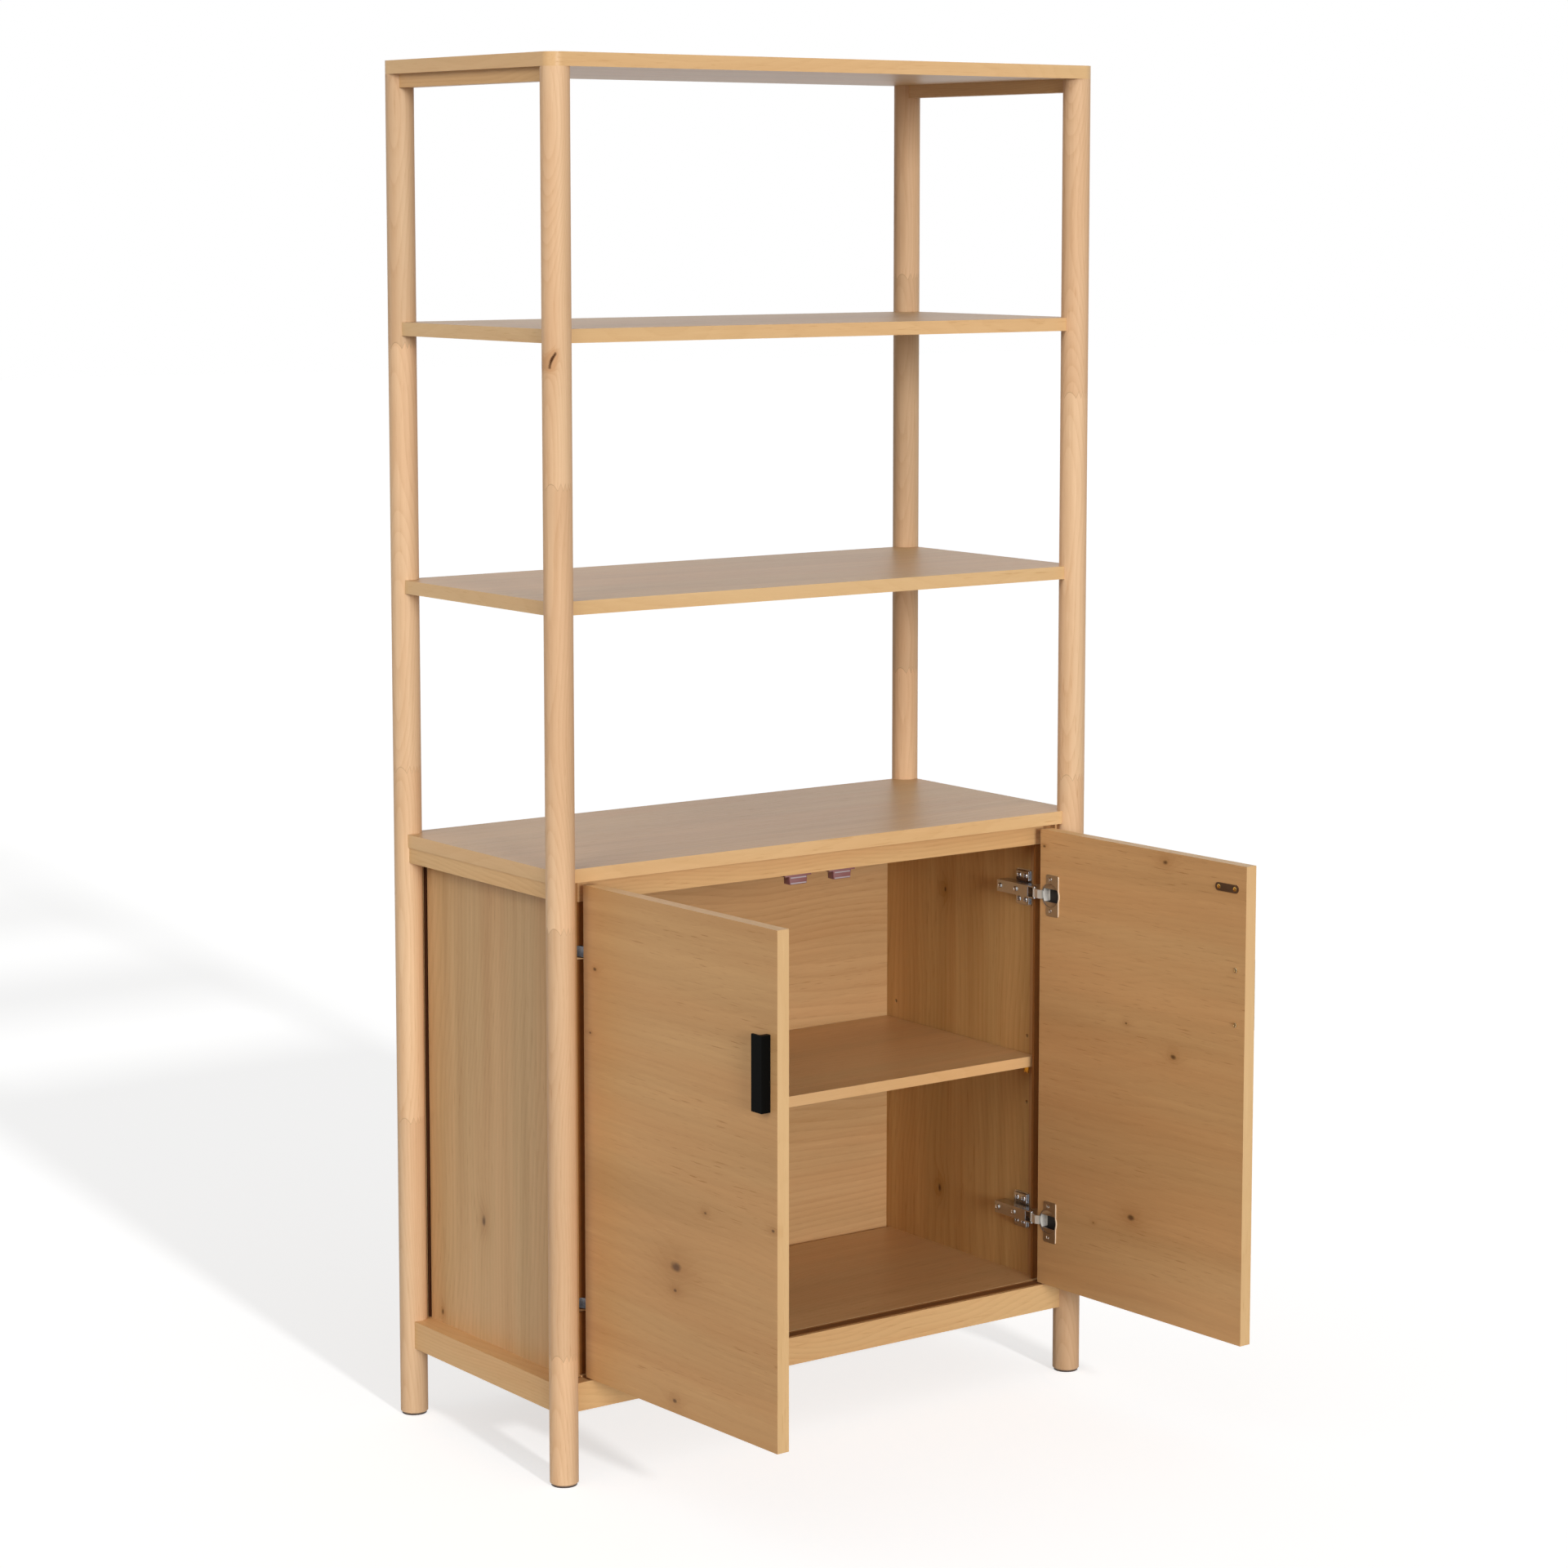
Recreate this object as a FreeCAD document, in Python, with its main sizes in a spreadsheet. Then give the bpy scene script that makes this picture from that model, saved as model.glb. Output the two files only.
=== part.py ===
"""Bookcase on four round posts: three open bays over a cupboard with two hinged doors.

Millimetres, +Z up, the front faces -Y. The origin lies on the floor, in the middle of the box that the
bookcase fills with its doors open as they stand here. In the code, x runs from the middle of the carcass and
y from the middle of its depth; place() moves y to the origin of the part.
"""
import FreeCAD
import Part
import Sketcher
import os
import re

doc = FreeCAD.newDocument("bookcase")
sheet = doc.addObject("Spreadsheet::Sheet", "Sizes")

# Driving sizes, one name each, by piece
SIZES = {
    # Carcass
    "height": 1850,
    "width": 895,
    "depth": 418,
    "board_thick": 18,
    "bay_clear": 328,
    "bays": 3,
    "overrun": 5,
    "fit_gap": 0.05,
    # Posts and their glides
    "post_dia": 38,
    "foot_chamfer": 1.5,
    "glide_dia": 34,
    "glide_thick": 2.5,
    "glide_stem_dia": 5,
    "glide_stem_long": 14,
    # Shelves round the posts
    "shelf_outboard": 10,
    "shelf_front": 4,
    "shelf_back": 3,
    "cope_gap": 0.15,
    # Top side rails
    "top_rail_thick": 20,
    "top_rail_high": 18,
    # Cupboard frame
    "side_rail_out": 8.5,
    "side_rail_thick": 30,
    "side_rail_end": 8,
    "deck_side_rail_high": 21,
    "deck_rail_high": 29,
    "deck_rail_thick": 20,
    "deck_rail_front": 2.5,
    "base_low": 95.5,
    "base_rail_high": 38,
    "base_rail_thick": 20,
    "base_rail_proud": 6,
    # Panels of the cupboard
    "panel_thick": 15,
    "panel_front": 18,
    "lipping_wide": 25,
    "rebate_wide": 7,
    "rebate_deep": 5,
    "back_thick": 12,
    "back_side_gap": 0.5,
    "floor_thick": 18,
    "floor_proud": 2.5,
    # Loose shelf on its pins
    "inner_shelf_thick": 15,
    "inner_shelf_share": 0.4894,
    "inner_shelf_end_gap": 2,
    "inner_shelf_front": 28,
    "inner_shelf_back_gap": 1,
    "pin_dia": 5,
    "pin_deep": 9,
    "pin_drop": 8,
    "pin_pitch": 48,
    "pin_holes": 3,
    "pin_front": 30,
    "pin_back": 22,
    "pin_plate_wide": 10,
    "pin_plate_thick": 1.2,
    "pin_tongue_long": 12,
    "pin_web_thick": 1.6,
    # Doors
    "door_thick": 18,
    "door_proud": 5,
    "door_side_gap": 3.5,
    "door_meet_gap": 3,
    "door_low_gap": 3.5,
    "door_top_gap": 4.5,
    "door_angle_left": 87.9,
    "door_angle_right": 92.3,
    # Equivalent pole of the cup hinges
    "pole_in": 9.75,
    "pole_out": 3.75,
    # Hinge cups
    "hinge_from_end": 92,
    "cup_dia": 35,
    "cup_deep": 12,
    "cup_edge": 4.5,
    "cup_wall": 0.8,
    "cup_floor_gap": 0.3,
    "flange_thick": 1.2,
    "flange_tall": 59,
    "flange_near": 13,
    "flange_far": 38.5,
    "flange_rim": 0.7,
    "flange_round": 3,
    "cup_screw_pitch": 45,
    # Hinge arms
    "arm_pivot_in": 19,
    "arm_pivot_front": 6,
    "arm_lug_dia": 5.6,
    "arm_wide": 17,
    "arm_wall": 1.5,
    "arm_rear": 73,
    "arm_shoulder": 22,
    "arm_panel_gap": 3,
    "arm_web_back": 6,
    # Mounting plates
    "wing_back": 37,
    "wing_long": 33,
    "wing_tall": 52,
    "wing_thick": 2,
    "wing_round": 4,
    "wing_screw_pitch": 32,
    "rail_block_gap": 0.1,
    "rail_block_front": 20,
    "rail_block_rear": 72,
    "arm_screw_rear": 67,
    "arm_screw_front": 32,
    # Links from the arms into the cups
    "link_tall": 12,
    "link_thick": 2,
    "link_barrel_dia": 4.4,
    "link_side": 3.5,
    "link_knee": 13,
    "link_end_side": 0.5,
    "link_end": 19,
    "link_pin_dia": 2.5,
    "link_turn_share": 0.88,
    "square_angle": 90,
    # Handles
    "handle_foot_in": 13.5,
    "handle_foot_thick": 7,
    "handle_flange_wide": 20.5,
    "handle_flange_thick": 3,
    "handle_out": 14,
    "handle_tall": 96.5,
    "handle_down": 178.5,
    "handle_screw_pitch": 74,
    "handle_screw_deep": 9,
    # Magnetic catches and their strike plates
    "catch_side": 37,
    "catch_wide": 44,
    "catch_high": 16,
    "catch_deep": 14,
    "catch_front": 3,
    "catch_room_wide": 26,
    "catch_room_deep": 10,
    "catch_screw_pitch": 34,
    "magnet_high": 6,
    "magnet_deep": 8,
    "pole_plate_thick": 1.6,
    "pole_plate_proud": 0.4,
    "strike_wide": 43,
    "strike_high": 11,
    "strike_thick": 1.5,
    "strike_screw_pitch": 30,
    # Dowels
    "dowel_dia": 8,
    "dowel_long": 24,
    "panel_dowel_long": 18,
    "dowel_end_gap": 0.5,
    "dowel_stagger": 9,
    "panel_dowel_from_mid": 120,
    # Screws: countersunk wood screws, then screws with a raised head
    "wood_head_dia": 6.5,
    "wood_head_deep": 2,
    "wood_shank_dia": 3.5,
    "wood_long": 12,
    "back_screw_long": 28,
    "back_screw_from_end": 90,
    "back_rail_screw_side": 150,
    "pan_head_dia": 7,
    "pan_head_high": 1.6,
    "pan_shank_dia": 4,
    "arm_screw_long": 9,
}

# Places that follow from the driving sizes
WORKED_OUT = {
    "post_r": "post_dia / 2",
    "post_x": "width / 2 - post_r",
    "post_y": "depth / 2 - post_r",
    "post_in": "post_x - post_r",
    "top_under": "height - board_thick",
    "bay_pitch": "bay_clear + board_thick",
    "deck_under": "top_under - bays * bay_pitch",
    "base_top": "base_low + base_rail_high",
    "side_rail_outer": "post_x + side_rail_out",
    "side_rail_inner": "side_rail_outer - side_rail_thick",
    "panel_inner": "side_rail_inner - panel_thick",
    "panel_y": "post_y - panel_front",
    "back_inner": "base_rail_y + base_rail_thick / 2 - back_thick",
    "base_rail_y": "post_y + base_rail_proud - base_rail_thick / 2",
    "floor_y": "base_rail_y - base_rail_thick / 2",
    "floor_top": "base_top + floor_proud",
    "deck_rail_y": "panel_y + deck_rail_front - deck_rail_thick / 2",
    "hinge_edge": "post_in - door_side_gap",
    "door_wide": "hinge_edge - door_meet_gap / 2",
    "door_low": "base_top + door_low_gap",
    "door_tall": "deck_under - door_top_gap - door_low",
    "door_face": "post_y + door_proud",
    "door_back": "door_face - door_thick",
    "pole_x": "hinge_edge - pole_in",
    "pole_y": "door_face + pole_out",
    "carcass_y": "(door_wide - pole_in + pole_y - depth / 2) / 2",
    "cup_x": "hinge_edge - cup_edge - cup_dia / 2",
    "hinge_low": "door_low + hinge_from_end",
    "hinge_high": "door_low + door_tall - hinge_from_end",
    "arm_x": "panel_inner - arm_pivot_in",
    "arm_y": "panel_y + arm_pivot_front",
    "arm_web": "arm_x - arm_lug_dia / 2",
    "link_angle_left": "(square_angle - door_angle_left) * link_turn_share",
    "link_angle_right": "(square_angle - door_angle_right) * link_turn_share",
    "shelf_y": "post_y + shelf_front",
    "catch_y": "door_back - catch_front",
    "catch_mid": "deck_under - deck_rail_high - catch_high / 2",
    "handle_mid": "door_low + door_tall - handle_down",
    "inner_shelf_top": "floor_top + (deck_under - floor_top) * inner_shelf_share",
    "pin_z": "inner_shelf_top - inner_shelf_thick - pin_drop",
    "pin_front_y": "panel_y - pin_front",
    "pin_back_y": "back_inner - pin_back",
}

for row, (name, value) in enumerate([*SIZES.items(), *WORKED_OUT.items()], start=1):
    sheet.set(f"A{row}", name)
    sheet.setAlias(f"B{row}", name)
    sheet.set(f"B{row}", f"={value}" if name in WORKED_OUT else str(value))
doc.recompute()

WORD = re.compile(r"[A-Za-z_]\w*")
NAMES = {*SIZES, *WORKED_OUT}
SIDES = (("left", -1), ("right", 1))
ENDS = (("front", -1), ("back", 1))

# Turns that bring a primitive's own Z axis to the named way
WAYS = {
    "+x": FreeCAD.Rotation(FreeCAD.Vector(0, 1, 0), 90),
    "-x": FreeCAD.Rotation(FreeCAD.Vector(0, 1, 0), -90),
    "+y": FreeCAD.Rotation(FreeCAD.Vector(1, 0, 0), -90),
    "-y": FreeCAD.Rotation(FreeCAD.Vector(1, 0, 0), 90),
    "+z": FreeCAD.Rotation(),
    "-z": FreeCAD.Rotation(FreeCAD.Vector(1, 0, 0), 180),
}

TINY = 1e-6

pieces = []


def size(name):
    """The value of one name on the sheet."""
    return float(sheet.get(name))


def bind(thing, prop, text):
    """Bind a property to a sum of names on the sheet."""
    thing.setExpression(prop, WORD.sub(lambda m: f"Sizes.{m.group()}" if m.group() in NAMES else m.group(), text))


def place(thing, x, y, z, way="+z"):
    thing.Placement = FreeCAD.Placement(FreeCAD.Vector(), WAYS[way])
    bind(thing, "Placement.Base.x", x)
    bind(thing, "Placement.Base.y", f"carcass_y + ({y})")
    bind(thing, "Placement.Base.z", z)
    return thing


def box(name, x, y, z, length, width, height):
    """A box from its lowest corner."""
    solid = doc.addObject("Part::Box", name)
    bind(solid, "Length", length)
    bind(solid, "Width", width)
    bind(solid, "Height", height)
    return place(solid, x, y, z)


def slab(name, x, y, z, length, width, height):
    """A box that stands on z with its middle over x and y."""
    return box(name, f"{x} - ({length}) / 2", f"{y} - ({width}) / 2", z, length, width, height)


def rod(name, x, y, z, way, dia, length):
    """A cylinder that starts at the point and runs the named way."""
    solid = doc.addObject("Part::Cylinder", name)
    bind(solid, "Radius", f"({dia}) / 2")
    bind(solid, "Height", length)
    return place(solid, x, y, z, way)


def group(name, members):
    result = doc.addObject("Part::Compound", name)
    result.Links = members
    return result


def fuse(name, *members):
    result = doc.addObject("Part::MultiFuse", name)
    result.Shapes = members
    return result


def cut(name, base, *tools):
    result = doc.addObject("Part::Cut", name)
    result.Base = base
    result.Tool = tools[0] if len(tools) == 1 else group(f"{name}_tools", tools)
    return result


def rounded(name, base, radius, kind="Part::Fillet", test=None, along=None):
    """Fillet or chamfer the edges of base that run along one axis, or that pass the test."""
    doc.recompute()
    if along:
        axis = "xyz".index(along)
        test = lambda edge: abs(edge.tangentAt(edge.FirstParameter)[axis]) > 1 - TINY
    result = doc.addObject(kind, name)
    result.Base = base
    result.Edges = [(number, radius, radius) for number, edge in enumerate(base.Shape.Edges, start=1) if test(edge)]
    return result


def origin_plane(body, role):
    return next(feature for feature in body.Origin.OriginFeatures if feature.Role == role)


def profile(name, plane, points, x, y, z, height):
    """A body padded both ways from an outline, whose points are pairs of sums on the plane's own axes."""
    body = doc.addObject("PartDesign::Body", name)
    sketch = body.newObject("Sketcher::SketchObject", f"{name}_sketch")
    sketch.AttachmentSupport = (origin_plane(body, plane), [""])
    sketch.MapMode = "FlatFace"
    count = len(points)
    spots = [FreeCAD.Vector(number, number * number, 0) for number in range(count)]
    for number in range(count):
        sketch.addGeometry(Part.LineSegment(spots[number], spots[(number + 1) % count]), False)
    for number in range(count):
        sketch.addConstraint(Sketcher.Constraint("Coincident", number, 2, (number + 1) % count, 1))
    for number, point in enumerate(points):
        for kind, text in zip(("DistanceX", "DistanceY"), point):
            index = sketch.addConstraint(Sketcher.Constraint(kind, -1, 1, number, 1, size("overrun")))
            bind(sketch, f"Constraints[{index}]", text)
    pad = body.newObject("PartDesign::Pad", f"{name}_pad")
    pad.Profile = sketch
    pad.Midplane = True
    bind(pad, "Length", height)
    return place(body, x, y, z)


def side_span(sign, inner, outer):
    """Lowest x of what reaches from inner to outer on one side of the carcass."""
    return inner if sign > 0 else f"-({outer})"


def outward(sign):
    return "+x" if sign > 0 else "-x"


def turned(thing, x, y, angle):
    """Turn a piece about an upright line through the point."""
    centre = f"vector({x}; carcass_y + ({y}); 0)"
    bind(thing, "Placement", f"placement(vector(0; 0; 0); rotation(vector(0; 0; 1); {angle}); {centre})")
    return thing


def piece(thing):
    """Keep a finished piece: its label names its file."""
    thing.Label = thing.Name
    pieces.append(thing)
    return thing


# Dowels: each with the hole that takes it

dowels = {"frame_dowels": [], "shelf_dowels": [], "panel_dowels": []}
dowel_holes = []


def dowel(kind, x, y, z, axis, length="dowel_long"):
    """A dowel whose middle lies on the point, across the joint."""
    number = len(dowels[kind]) + 1
    for name, keep, dia, long in (
        (f"{kind}_{number}", dowels[kind], "dowel_dia", length),
        (f"{kind}_hole_{number}", dowel_holes, "dowel_dia + 2 * fit_gap", f"({length} + 2 * dowel_end_gap)"),
    ):
        start = {"x": x, "y": y, "z": z}
        start[axis] = f"{start[axis]} - {long} / 2"
        keep.append(rod(name, start["x"], start["y"], start["z"], f"+{axis}", dia, long))


def add_dowels():
    rail_mid = "(side_rail_outer - side_rail_thick / 2)"
    for side, across in SIDES:
        for end, along in ENDS:
            joint_y = f"{along} * (post_y - post_r)"
            base_mid = "base_low + base_rail_high / 2"
            dowel("frame_dowels", f"{across} * post_x", f"{along} * post_y", "top_under", "z")
            dowel("frame_dowels", f"{across} * post_x", joint_y, "top_under - top_rail_high / 2", "y")
            dowel("frame_dowels", f"{across} * {rail_mid}", joint_y, "deck_under - deck_side_rail_high / 2", "y")
            dowel("frame_dowels", f"{across} * {rail_mid}", joint_y, f"{base_mid} - dowel_stagger", "y")
            dowel("frame_dowels", f"{across} * post_in", f"{along} * base_rail_y", f"{base_mid} + dowel_stagger", "x")
            for bay in range(1, int(size("bays")) + 1):
                dowel("shelf_dowels", f"{across} * post_in", f"{along} * base_rail_y",
                      f"top_under - {bay} * bay_pitch + board_thick / 2", "x")
            rail_y = "deck_rail_y" if along < 0 else "(back_inner - deck_rail_thick / 2)"
            dowel("panel_dowels", f"{across} * panel_inner", f"{along} * {rail_y}",
                  "deck_under - deck_rail_high / 2", "x", "panel_dowel_long")
            dowel("panel_dowels", f"{across} * panel_inner", f"{along} * panel_dowel_from_mid",
                  "floor_top - floor_thick / 2", "x", "panel_dowel_long")
            dowel("panel_dowels", f"{across} * (panel_inner + panel_thick / 2)", f"{along} * panel_dowel_from_mid",
                  "deck_under", "z", "panel_dowel_long")
    for kind, members in dowels.items():
        piece(group(kind, members))
    return group("dowel_holes", dowel_holes)


# Screws: each with the hole that takes it

OPPOSITE = {"+x": "-x", "-x": "+x", "+y": "-y", "-y": "+y", "+z": "-z", "-z": "+z"}


def wood_screw(name, x, y, z, way, length, gap="0"):
    """A countersunk screw with its head's face on the point."""
    head = doc.addObject("Part::Cone", f"{name}_head")
    bind(head, "Radius1", f"wood_head_dia / 2 + {gap}")
    bind(head, "Radius2", f"wood_shank_dia / 2 + {gap}")
    bind(head, "Height", "wood_head_deep")
    place(head, x, y, z, way)
    shank = rod(f"{name}_shank", x, y, z, way, f"wood_shank_dia + 2 * {gap}", f"{length} + {gap}")
    return fuse(name, head, shank)


def pan_screw(name, x, y, z, way, length):
    """A screw with a raised head that sits on the point."""
    head = rod(f"{name}_head", x, y, z, OPPOSITE[way], "pan_head_dia", "pan_head_high")
    shank = rod(f"{name}_shank", x, y, z, way, "pan_shank_dia", length)
    return fuse(name, head, shank)


def pan_hole(name, x, y, z, way, length):
    return rod(name, x, y, z, way, "pan_shank_dia + 2 * fit_gap", f"{length} + fit_gap")


def add_screws(name, kind, spots, length):
    """Screws of one kind on the spots (x, y, z, way), and their holes."""
    screws = []
    holes = []
    for number, spot in enumerate(spots, start=1):
        if kind == "wood":
            screws.append(wood_screw(f"{name}_{number}", *spot, length))
            holes.append(wood_screw(f"{name}_hole_{number}", *spot, length, "fit_gap"))
        else:
            screws.append(pan_screw(f"{name}_{number}", *spot, length))
            holes.append(pan_hole(f"{name}_hole_{number}", *spot, length))
    return group(name, screws), group(f"{name}_holes", holes)


# Posts, glides, top and shelves

def add_posts(dowel_room):
    """Four turned posts on hard glides, and the room round them that boards and rails are coped to."""
    rooms = []
    glides = []
    for side, across in SIDES:
        for end, along in ENDS:
            x = f"{across} * post_x"
            y = f"{along} * post_y"
            name = f"post_{end}_{side}"
            post = rod(f"{name}_turned", x, y, "glide_thick", "+z", "post_dia", "top_under - glide_thick")
            foot = size("glide_thick") + TINY
            eased = rounded(f"{name}_eased", post, size("foot_chamfer"), "Part::Chamfer",
                            lambda edge: edge.BoundBox.ZMax < foot)
            stem_hole = rod(f"{name}_stem_hole", x, y, "0", "+z", "glide_stem_dia + 2 * fit_gap",
                            "glide_thick + glide_stem_long + dowel_end_gap")
            piece(cut(name, eased, dowel_room, stem_hole))
            disc = rod(f"glide_disc_{end}_{side}", x, y, "0", "+z", "glide_dia", "glide_thick")
            stem = rod(f"glide_stem_{end}_{side}", x, y, "0", "+z", "glide_stem_dia",
                       "glide_thick + glide_stem_long")
            glides.append(fuse(f"glide_{end}_{side}", disc, stem))
            rooms.append(rod(f"post_room_{end}_{side}", x, y, "0", "+z", "post_dia + 2 * cope_gap", "top_under"))
    piece(group("foot_glides", glides))
    return group("post_rooms", rooms)


def add_top(dowel_room):
    board = slab("top_board_blank", "0", "0", "top_under", "width", "depth", "board_thick")
    piece(cut("top_board", rounded("top_board_round", board, size("post_r"), along="z"), dowel_room))


def add_shelves(dowel_room, post_room):
    """Two open shelves and the cupboard's deck, notched round the posts."""
    for bay, name in enumerate(("shelf_upper", "shelf_lower", "deck_board"), start=1):
        board = box(f"{name}_blank", "-(post_x + shelf_outboard)", "-shelf_y", f"top_under - {bay} * bay_pitch",
                    "2 * (post_x + shelf_outboard)", "shelf_y + post_y + shelf_back", "board_thick")
        piece(cut(name, board, post_room, dowel_room))


# Rails

def add_rails(dowel_room, post_room):
    """Rails between the posts, coped to them, and the rails that stiffen the deck between the panels."""
    for side, across in SIDES:
        top = slab(f"top_rail_{side}_blank", f"{across} * post_x", "0", "top_under - top_rail_high",
                   "top_rail_thick", "2 * post_y", "top_rail_high")
        piece(cut(f"top_rail_{side}", top, post_room, dowel_room))
        for name, low, high, reach in (
            ("deck_rail", "deck_under - deck_side_rail_high", "deck_side_rail_high", "(post_y - side_rail_end)"),
            ("base_rail", "base_low", "base_rail_high", "floor_y"),
        ):
            rail = slab(f"{name}_{side}_blank", f"{across} * (side_rail_outer - side_rail_thick / 2)", "0", low,
                        "side_rail_thick", f"2 * {reach}", high)
            piece(cut(f"{name}_{side}", rail, post_room, dowel_room))
    for end, along in ENDS:
        base = slab(f"base_rail_{end}_blank", "0", f"{along} * base_rail_y", "base_low",
                    "2 * post_x", "base_rail_thick", "base_rail_high")
        piece(cut(f"base_rail_{end}", base, post_room, dowel_room))


# Cupboard panels

def add_panels(dowel_room, holes):
    """Side panels with solid front lippings, the floor and the back."""
    for side, across in SIDES:
        pin_holes = []
        for end, y in (("front", "-pin_front_y"), ("back", "pin_back_y")):
            for row in range(int(size("pin_holes"))):
                level = f"pin_z + ({row} - (pin_holes - 1) / 2) * pin_pitch"
                pin_holes.append(rod(f"pin_hole_{side}_{end}_{row}", f"{across} * panel_inner", y, level,
                                     outward(across), "pin_dia + 2 * fit_gap", "pin_deep + dowel_end_gap"))
        x = side_span(across, "panel_inner", "side_rail_inner")
        tall = "deck_under - base_low"
        groove_x = side_span(across, "side_rail_inner - rebate_deep", "side_rail_inner + overrun")
        groove = "rebate_deep + overrun"
        seam = "-(panel_y - lipping_wide)"
        front = box(f"side_lipping_{side}_blank", x, "-panel_y", "base_low", "panel_thick", "lipping_wide", tall)
        front_rebate = box(f"side_lipping_{side}_rebate", groove_x, "-panel_y - overrun", "base_top", groove,
                           "overrun + rebate_wide", "deck_under - deck_side_rail_high - base_top")
        piece(cut(f"side_lipping_{side}", front, front_rebate, dowel_room))
        panel = box(f"side_panel_{side}_blank", x, seam, "base_low", "panel_thick",
                    "back_inner + panel_y - lipping_wide", tall)
        back_rebate = box(f"side_panel_{side}_rebate", groove_x, "back_inner - rebate_wide", "base_top", groove,
                          "rebate_wide + overrun", "deck_under - deck_side_rail_high - base_top")
        rail_notch = box(f"side_panel_{side}_rail_notch", x, "floor_y", "base_low - overrun", "panel_thick",
                         "back_inner + overrun - floor_y", "overrun + base_rail_high")
        piece(cut(f"side_panel_{side}", panel, back_rebate, rail_notch, dowel_room,
                  group(f"pin_holes_{side}", pin_holes), holes["hinge_plate_screws"], holes["back_panel_screws"]))
    floor = box("floor_panel_blank", "-panel_inner", "-floor_y", "floor_top - floor_thick",
                "2 * panel_inner", "2 * floor_y", "floor_thick")
    piece(cut("floor_panel", floor, dowel_room))
    back = box("back_panel_blank", "-(post_in - back_side_gap)", "back_inner", "base_top",
               "2 * (post_in - back_side_gap)", "back_thick", "deck_under - base_top")
    piece(cut("back_panel", back, holes["back_panel_screws"]))
    front_rail = box("deck_rail_front_blank", "-panel_inner", "-(panel_y + deck_rail_front)",
                     "deck_under - deck_rail_high", "2 * panel_inner", "deck_rail_thick", "deck_rail_high")
    piece(cut("deck_rail_front", front_rail, dowel_room, holes["catch_screws"]))
    back_rail = box("deck_rail_back_blank", "-panel_inner", "back_inner - deck_rail_thick",
                    "deck_under - deck_rail_high", "2 * panel_inner", "deck_rail_thick", "deck_rail_high")
    piece(cut("deck_rail_back", back_rail, dowel_room, holes["back_panel_screws"]))


def add_inner_shelf():
    """The loose shelf and the four spade pins that carry it."""
    slab_long = "2 * (panel_inner - inner_shelf_end_gap)"
    shelf = box("inner_shelf", "-(panel_inner - inner_shelf_end_gap)", "-(post_y - inner_shelf_front)",
                "inner_shelf_top - inner_shelf_thick", slab_long,
                "post_y - inner_shelf_front + back_inner - inner_shelf_back_gap", "inner_shelf_thick")
    piece(shelf)
    under = "inner_shelf_top - inner_shelf_thick"
    pins = []
    for side, across in SIDES:
        for end, y in (("front", "-pin_front_y"), ("back", "pin_back_y")):
            name = f"pin_{side}_{end}"
            stem = rod(f"{name}_stem", f"{across} * (panel_inner - pin_plate_thick)", y, "pin_z", outward(across),
                       "pin_dia", "pin_plate_thick + pin_deep")
            low = "pin_z - pin_plate_wide / 2"
            plate = box(f"{name}_plate", side_span(across, "panel_inner - pin_plate_thick", "panel_inner"),
                        f"{y} - pin_plate_wide / 2", low, "pin_plate_thick", "pin_plate_wide", f"{under} - ({low})")
            tongue = box(f"{name}_tongue", side_span(across, "panel_inner - pin_tongue_long", "panel_inner"),
                         f"{y} - pin_plate_wide / 2", f"{under} - pin_plate_thick", "pin_tongue_long",
                         "pin_plate_wide", "pin_plate_thick")
            wall = f"{across} * (panel_inner - pin_plate_thick / 2)"
            web = profile(f"{name}_web", "XZ_Plane", (
                (wall, low),
                (wall, f"{under} - pin_plate_thick / 2"),
                (f"{across} * (panel_inner - pin_tongue_long)", f"{under} - pin_plate_thick / 2"),
            ), "0", y, "0", "pin_web_thick")
            pins.append(fuse(name, stem, plate, tongue, web))
    piece(group("shelf_pins", pins))


# Catches under the deck rail

def add_catches(screw_holes):
    magnets = []
    plates = []
    for side, across in SIDES:
        x = f"{across} * catch_side"
        low = "catch_mid - catch_high / 2"
        housing = slab(f"catch_{side}_housing", x, "-(catch_y - catch_deep / 2)", low,
                       "catch_wide", "catch_deep", "catch_high")
        room = slab(f"catch_{side}_room", x, "-(catch_y - catch_room_deep / 2 + overrun / 2)",
                    "catch_mid - magnet_high / 2 - pole_plate_thick", "catch_room_wide",
                    "catch_room_deep + overrun", "magnet_high + 2 * pole_plate_thick")
        piece(cut(f"catch_{side}", housing, room, screw_holes))
        rear = "-(catch_y - catch_room_deep)"
        magnets.append(slab(f"catch_magnet_{side}", x, f"{rear} - magnet_deep / 2", "catch_mid - magnet_high / 2",
                            "catch_room_wide", "magnet_deep", "magnet_high"))
        for level, z in (("low", "catch_mid - magnet_high / 2 - pole_plate_thick"),
                         ("high", "catch_mid + magnet_high / 2")):
            deep = "(catch_room_deep + pole_plate_proud)"
            plates.append(slab(f"catch_pole_plate_{side}_{level}", x, f"{rear} - {deep} / 2", z,
                               "catch_room_wide", deep, "pole_plate_thick"))
    piece(group("catch_magnets", magnets))
    piece(group("catch_pole_plates", plates))


# Hinges: arm and plate on the panel, link on the arm, cup in the door

LEVELS = (("low", "hinge_low"), ("high", "hinge_high"))


def hinge_pin(name, across, z, dia):
    return rod(name, f"{across} * arm_x", "-arm_y", f"{z} - arm_wide / 2", "+z", dia, "arm_wide")


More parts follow.
